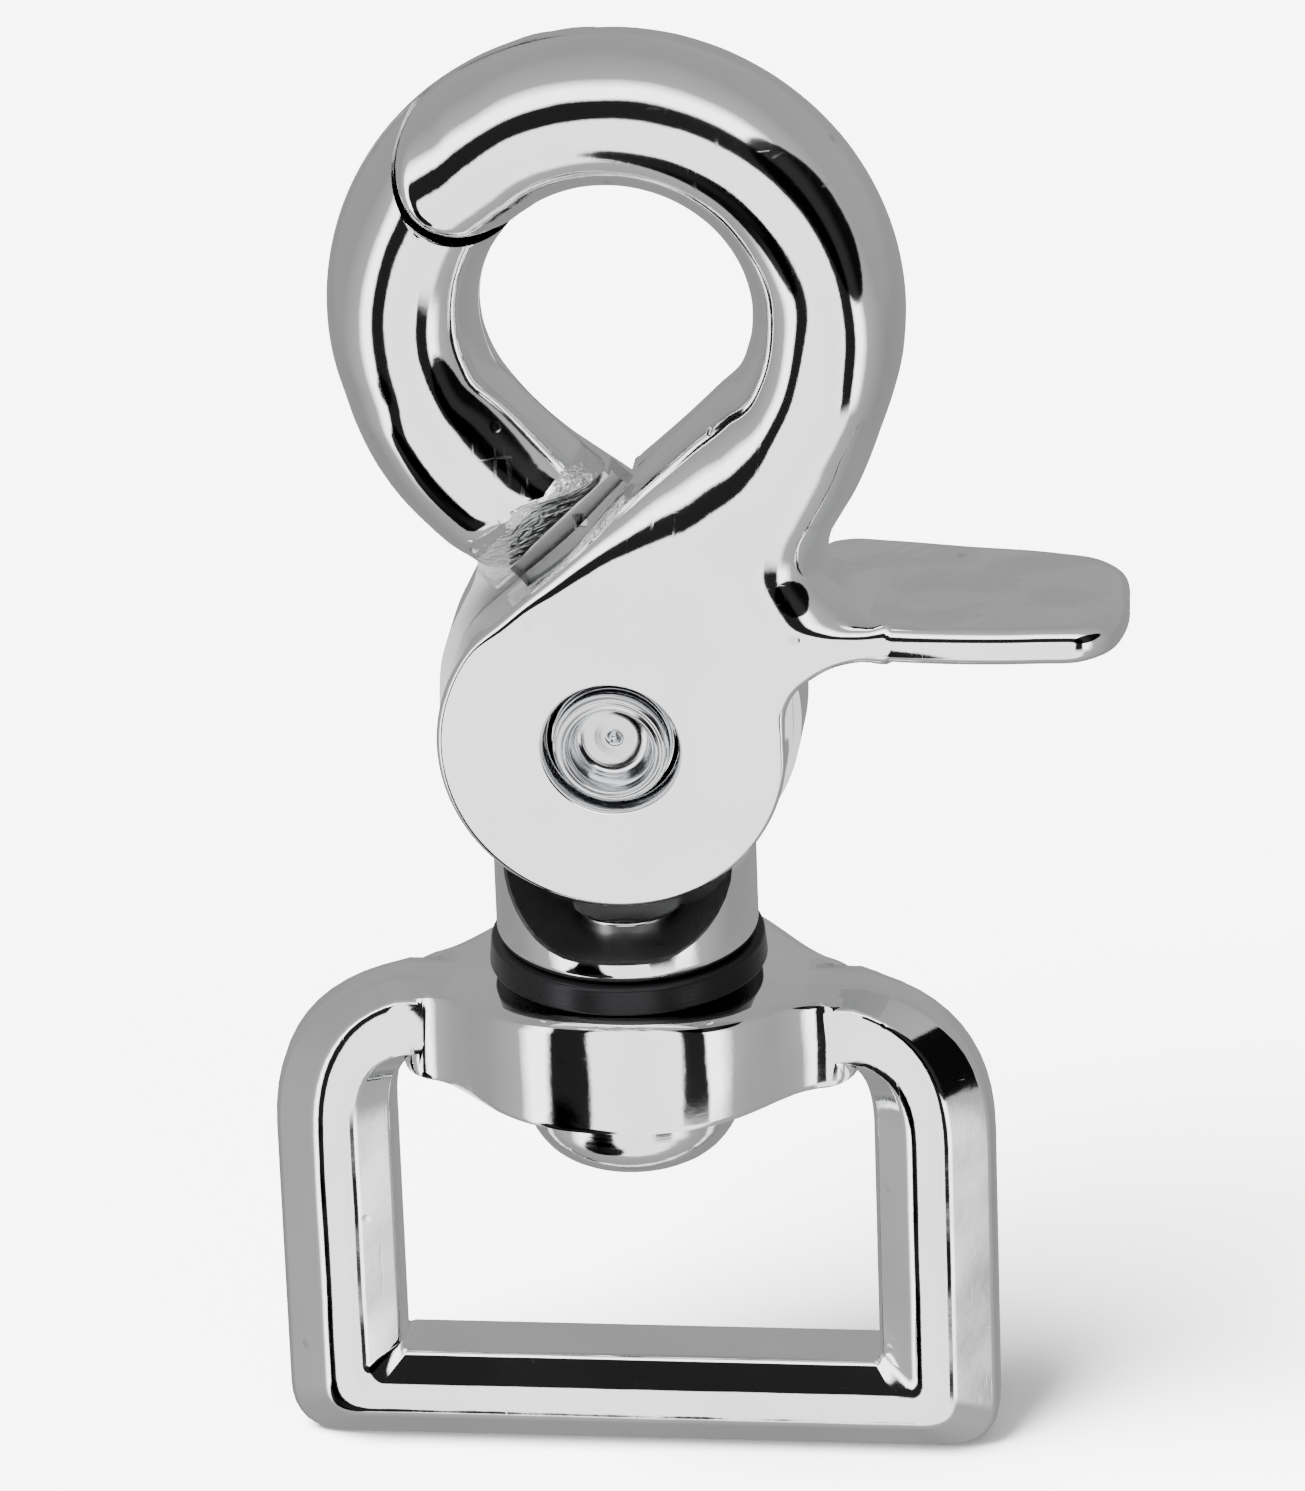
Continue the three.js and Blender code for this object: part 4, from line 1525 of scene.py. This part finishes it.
class Studio:
    """Camera, floor, lights and surroundings."""

    AZIMUTH = 7.35
    ELEVATION = 25.0
    ROLL = -2.08
    DISTANCE = 500.0
    LENS = 226.96
    AIM_RIGHT = 1.73
    AIM_UP = -1.68
    # Black cards: direction round the camera's axis, angle from it and radius, in degrees.
    CARDS = ((33.0, 58.0, 28.0), (222.0, 38.0, 18.5))
    # The camera's axis and the two directions across it, which the tent is drawn about.
    AXES = ((0.1105, -0.8996, -0.4226), (0.9925, 0.1219, 0.0), (0.0515, -0.4194, 0.9063))
    # A mix node's colour sockets share their names with its number sockets.
    MIX_A, MIX_B, MIX_RESULT = 6, 7, 2
    TENT_STRENGTH = 4.0
    FLOOR_TONE = 0.95
    SUN_STRENGTH = 26.0
    SUN_WIDTH = 35.0

    def __init__(self, place: Placement, lowest: float) -> None:
        """Keeps where the object is.

        Args:
            place: The frame's placement.
            lowest: Height of the object's lowest point, in metres.
        """
        self.place, self.lowest = place, lowest

    def camera(self) -> None:
        """Puts the camera in front of the hook, a little above it."""
        a, e, r = (math.radians(v) for v in (self.AZIMUTH, self.ELEVATION, self.ROLL))
        back = Vector((math.sin(a) * math.cos(e), -math.cos(a) * math.cos(e), math.sin(e)))
        right = Vector((math.cos(a), math.sin(a), 0))
        up = back.cross(right)
        rolled_right = right * math.cos(r) + up * math.sin(r)
        rolled_up = up * math.cos(r) - right * math.sin(r)
        data = bpy.data.cameras.new("camera")
        data.lens = self.LENS
        data.sensor_width = 36.0
        data.clip_start, data.clip_end = 0.01, 50.0
        eye = self.place.matrix @ (back * self.DISTANCE)
        aim = self.place.matrix @ (rolled_right * self.AIM_RIGHT + rolled_up * self.AIM_UP)
        camera = bpy.data.objects.new("camera", data)
        camera.location = eye
        turn = (aim - eye).to_track_quat("-Z", "Y").to_matrix() @ Matrix.Rotation(r, 3, "Z")
        camera.rotation_mode = "QUATERNION"
        camera.rotation_quaternion = turn.to_quaternion()
        bpy.context.scene.collection.objects.link(camera)
        bpy.context.scene.camera = camera

    def floor(self) -> None:
        """A wide pale floor under the eye."""
        bm = bmesh.new()
        bmesh.ops.create_grid(bm, x_segments=2, y_segments=2, size=6.0)
        bmesh.ops.translate(bm, vec=(0, 0, self.lowest), verts=bm.verts)
        mesh = bpy.data.meshes.new("floor")
        bm.to_mesh(mesh)
        bm.free()
        floor = bpy.data.objects.new("floor", mesh)
        bpy.context.scene.collection.objects.link(floor)
        material = bpy.data.materials.new("pale_floor")
        material.use_nodes = True
        shader = material.node_tree.nodes["Principled BSDF"]
        shader.inputs["Base Color"].default_value = (*[self.FLOOR_TONE] * 3, 1)
        shader.inputs["Roughness"].default_value = 1.0
        shader.inputs["Specular IOR Level"].default_value = 0.0
        mesh.materials.append(material)
        floor.visible_glossy = False

    def surroundings(self) -> None:
        """A pale tent round the camera with a black band round the opening, which the plate mirrors."""
        world = bpy.data.worlds.new("studio")
        bpy.context.scene.world = world
        world.use_nodes = True
        world.node_tree.nodes.clear()
        w = Wiring(world.node_tree)
        out, back = w.node("ShaderNodeOutputWorld"), w.node("ShaderNodeBackground")
        w.tree.links.new(back.outputs[0], out.inputs["Surface"])
        way = w.node("ShaderNodeTexCoord").outputs["Generated"]
        middle, side, up = self.AXES
        away = w.math("DEGREES", w.math("ARCCOSINE", w.dot(way, middle)))
        sideways, upwards = w.dot(way, side), w.dot(way, up)
        across = w.math("SQRT", w.math("ADD", w.math("POWER", sideways, 2.0), w.math("POWER", upwards, 2.0)))
        rise = w.math("DIVIDE", upwards, w.math("MAXIMUM", across, 0.0001))
        opening = w.between(rise, 0.0, 1.3, 22.0, 38.0)
        ratio = w.math("DIVIDE", away, opening)
        leaning = w.math("DIVIDE", sideways, w.math("MAXIMUM", across, 0.0001))
        ratio = w.math("MULTIPLY", ratio, w.math("MULTIPLY_ADD", leaning, 0.08, 1.0))
        around = w.ramp(ratio, 9.0, (
            (0, 0.56), (0.92, 0.62), (1.0, 0.005), (1.75, 0.005), (1.9, 1.0), (2.3, 1.0), (2.75, 0.15),
            (4.0, 0.1), (9.0, 0.11),
        ))
        below = w.ramp(away, 180.0, ((0, 0.56), (36, 0.6), (44, 0.14), (90, 0.085), (180, 0.1)))
        mix = w.node("ShaderNodeMix", data_type="RGBA")
        lowered = w.math("MULTIPLY_ADD", w.between(sideways, -0.02, 0.02), -0.25, rise)
        w.feed(mix.inputs["Factor"], w.between(lowered, -0.75, -0.45))
        w.feed(mix.inputs[self.MIX_A], below)
        w.feed(mix.inputs[self.MIX_B], around)
        colour = mix.outputs[self.MIX_RESULT]
        for turn, off_axis, radius in self.CARDS:
            off = math.radians(off_axis)
            lean = polar((0, 0), math.sin(off), turn)
            card = [math.cos(off) * m + lean[0] * p + lean[1] * q for m, p, q in zip(middle, side, up)]
            rim, full = (math.cos(math.radians(r)) for r in (radius, radius - 2.5))
            colour = w.shade(colour, w.between(w.dot(way, card), rim, full, 1.0, 0.008))
        w.feed(back.inputs["Color"], colour)
        back.inputs["Strength"].default_value = self.TENT_STRENGTH

    def lights(self) -> None:
        """A broad soft sun from the upper left, which brightens the floor."""
        data = bpy.data.lights.new("key", "SUN")
        data.energy, data.angle = self.SUN_STRENGTH, math.radians(self.SUN_WIDTH)
        light = bpy.data.objects.new("key", data)
        light.location = self.place.matrix @ Vector((0, 0, 200))
        light.rotation_mode = "QUATERNION"
        light.rotation_quaternion = Vector((0.45, 0.35, -1.0)).to_track_quat("-Z", "Y")
        light.visible_glossy = False
        bpy.context.scene.collection.objects.link(light)


@dataclass(frozen=True)
class Part:
    """One piece of the hook and where it belongs in the frame."""

    build: Callable[[], bpy.types.Object]
    node: str
    body: Body
    slot: str
    finish: MetalFinish


BRIGHT = (0.92, 0.925, 0.93)


def main() -> None:
    """Builds every piece, dresses it and puts it in the frame."""
    logging.basicConfig(level=logging.INFO, format="%(name)s: %(message)s")
    place = Placement(frame["joints"])
    pivot_z = place.matrix.translation.z
    jaws = Jaws()
    lathe = TurnedParts(place, jaws.form.pivot)
    wear = SurfaceWear()
    plate = MetalFinish("bright_plate", BRIGHT, 0.05)
    # This finish paints shade into the fixed jaw's spring recess and onto its neck.
    cast_end_and_shade = CrumpledEndAndShade("bright_plate_rough_end_and_shade", BRIGHT, 0.05)
    stud_plate = MetalFinish("turned_plate", (0.88, 0.885, 0.9), 0.09, Lines.ABOUT_SWIVEL, 0.006)
    satin = MetalFinish("satin_rivet", (0.68, 0.69, 0.71), 0.15, Lines.ABOUT_PIVOT, 0.012)
    black = MetalFinish("black_washer", (0.011, 0.011, 0.012), 0.3, Lines.ABOUT_SWIVEL, 0.02, 0.8)
    wire = MetalFinish("spring_wire", (0.55, 0.55, 0.56), 0.24, Lines.ALONG_WIRE, 0.01)
    parts = [
        Part(MovingJaw(jaws, place).build, "moving_jaw", Body.MOVING, "plated_cast", plate),
        Part(FixedJaw(jaws, place).build, "fixed_jaw", Body.FIXED, "plated_cast", cast_end_and_shade),
        Part(StrapEye(place).build, "strap_eye", Body.EYE, "plated_cast", plate),
        Part(lathe.stud, "swivel_stud", Body.FIXED, "plated_steel", stud_plate),
        Part(lathe.washer, "swivel_washer", Body.FIXED, "dark_steel", black),
        Part(lathe.rivet, "pivot_rivet", Body.FIXED, "rivet_steel", satin),
    ]
    made: dict[MetalFinish, bpy.types.Material] = {}
    for part in parts:
        piece = part.build()
        if part.finish not in made:
            made[part.finish] = part.finish.make(wear, pivot_z)
        piece.data.materials.clear()
        piece.data.materials.append(made[part.finish])
        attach(piece, part.body.value)
        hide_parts(part.node)
        log.info("%s: %d faces, %s, stands for %s", piece.name, len(piece.data.polygons),
                 part.finish.name, part.node)
    spring = bpy.data.objects["torsion_spring"]
    for slot in spring.material_slots:
        slot.link = "OBJECT"
        slot.material = wire.make(wear, pivot_z)
        log.info("torsion_spring: carried over, %s", wire.name)
    studio = Studio(place, CAD_BOX[0].z)
    studio.camera()
    studio.floor()
    studio.surroundings()
    studio.lights()
    bpy.context.view_layer.update()


if __name__ == "__main__":
    main()
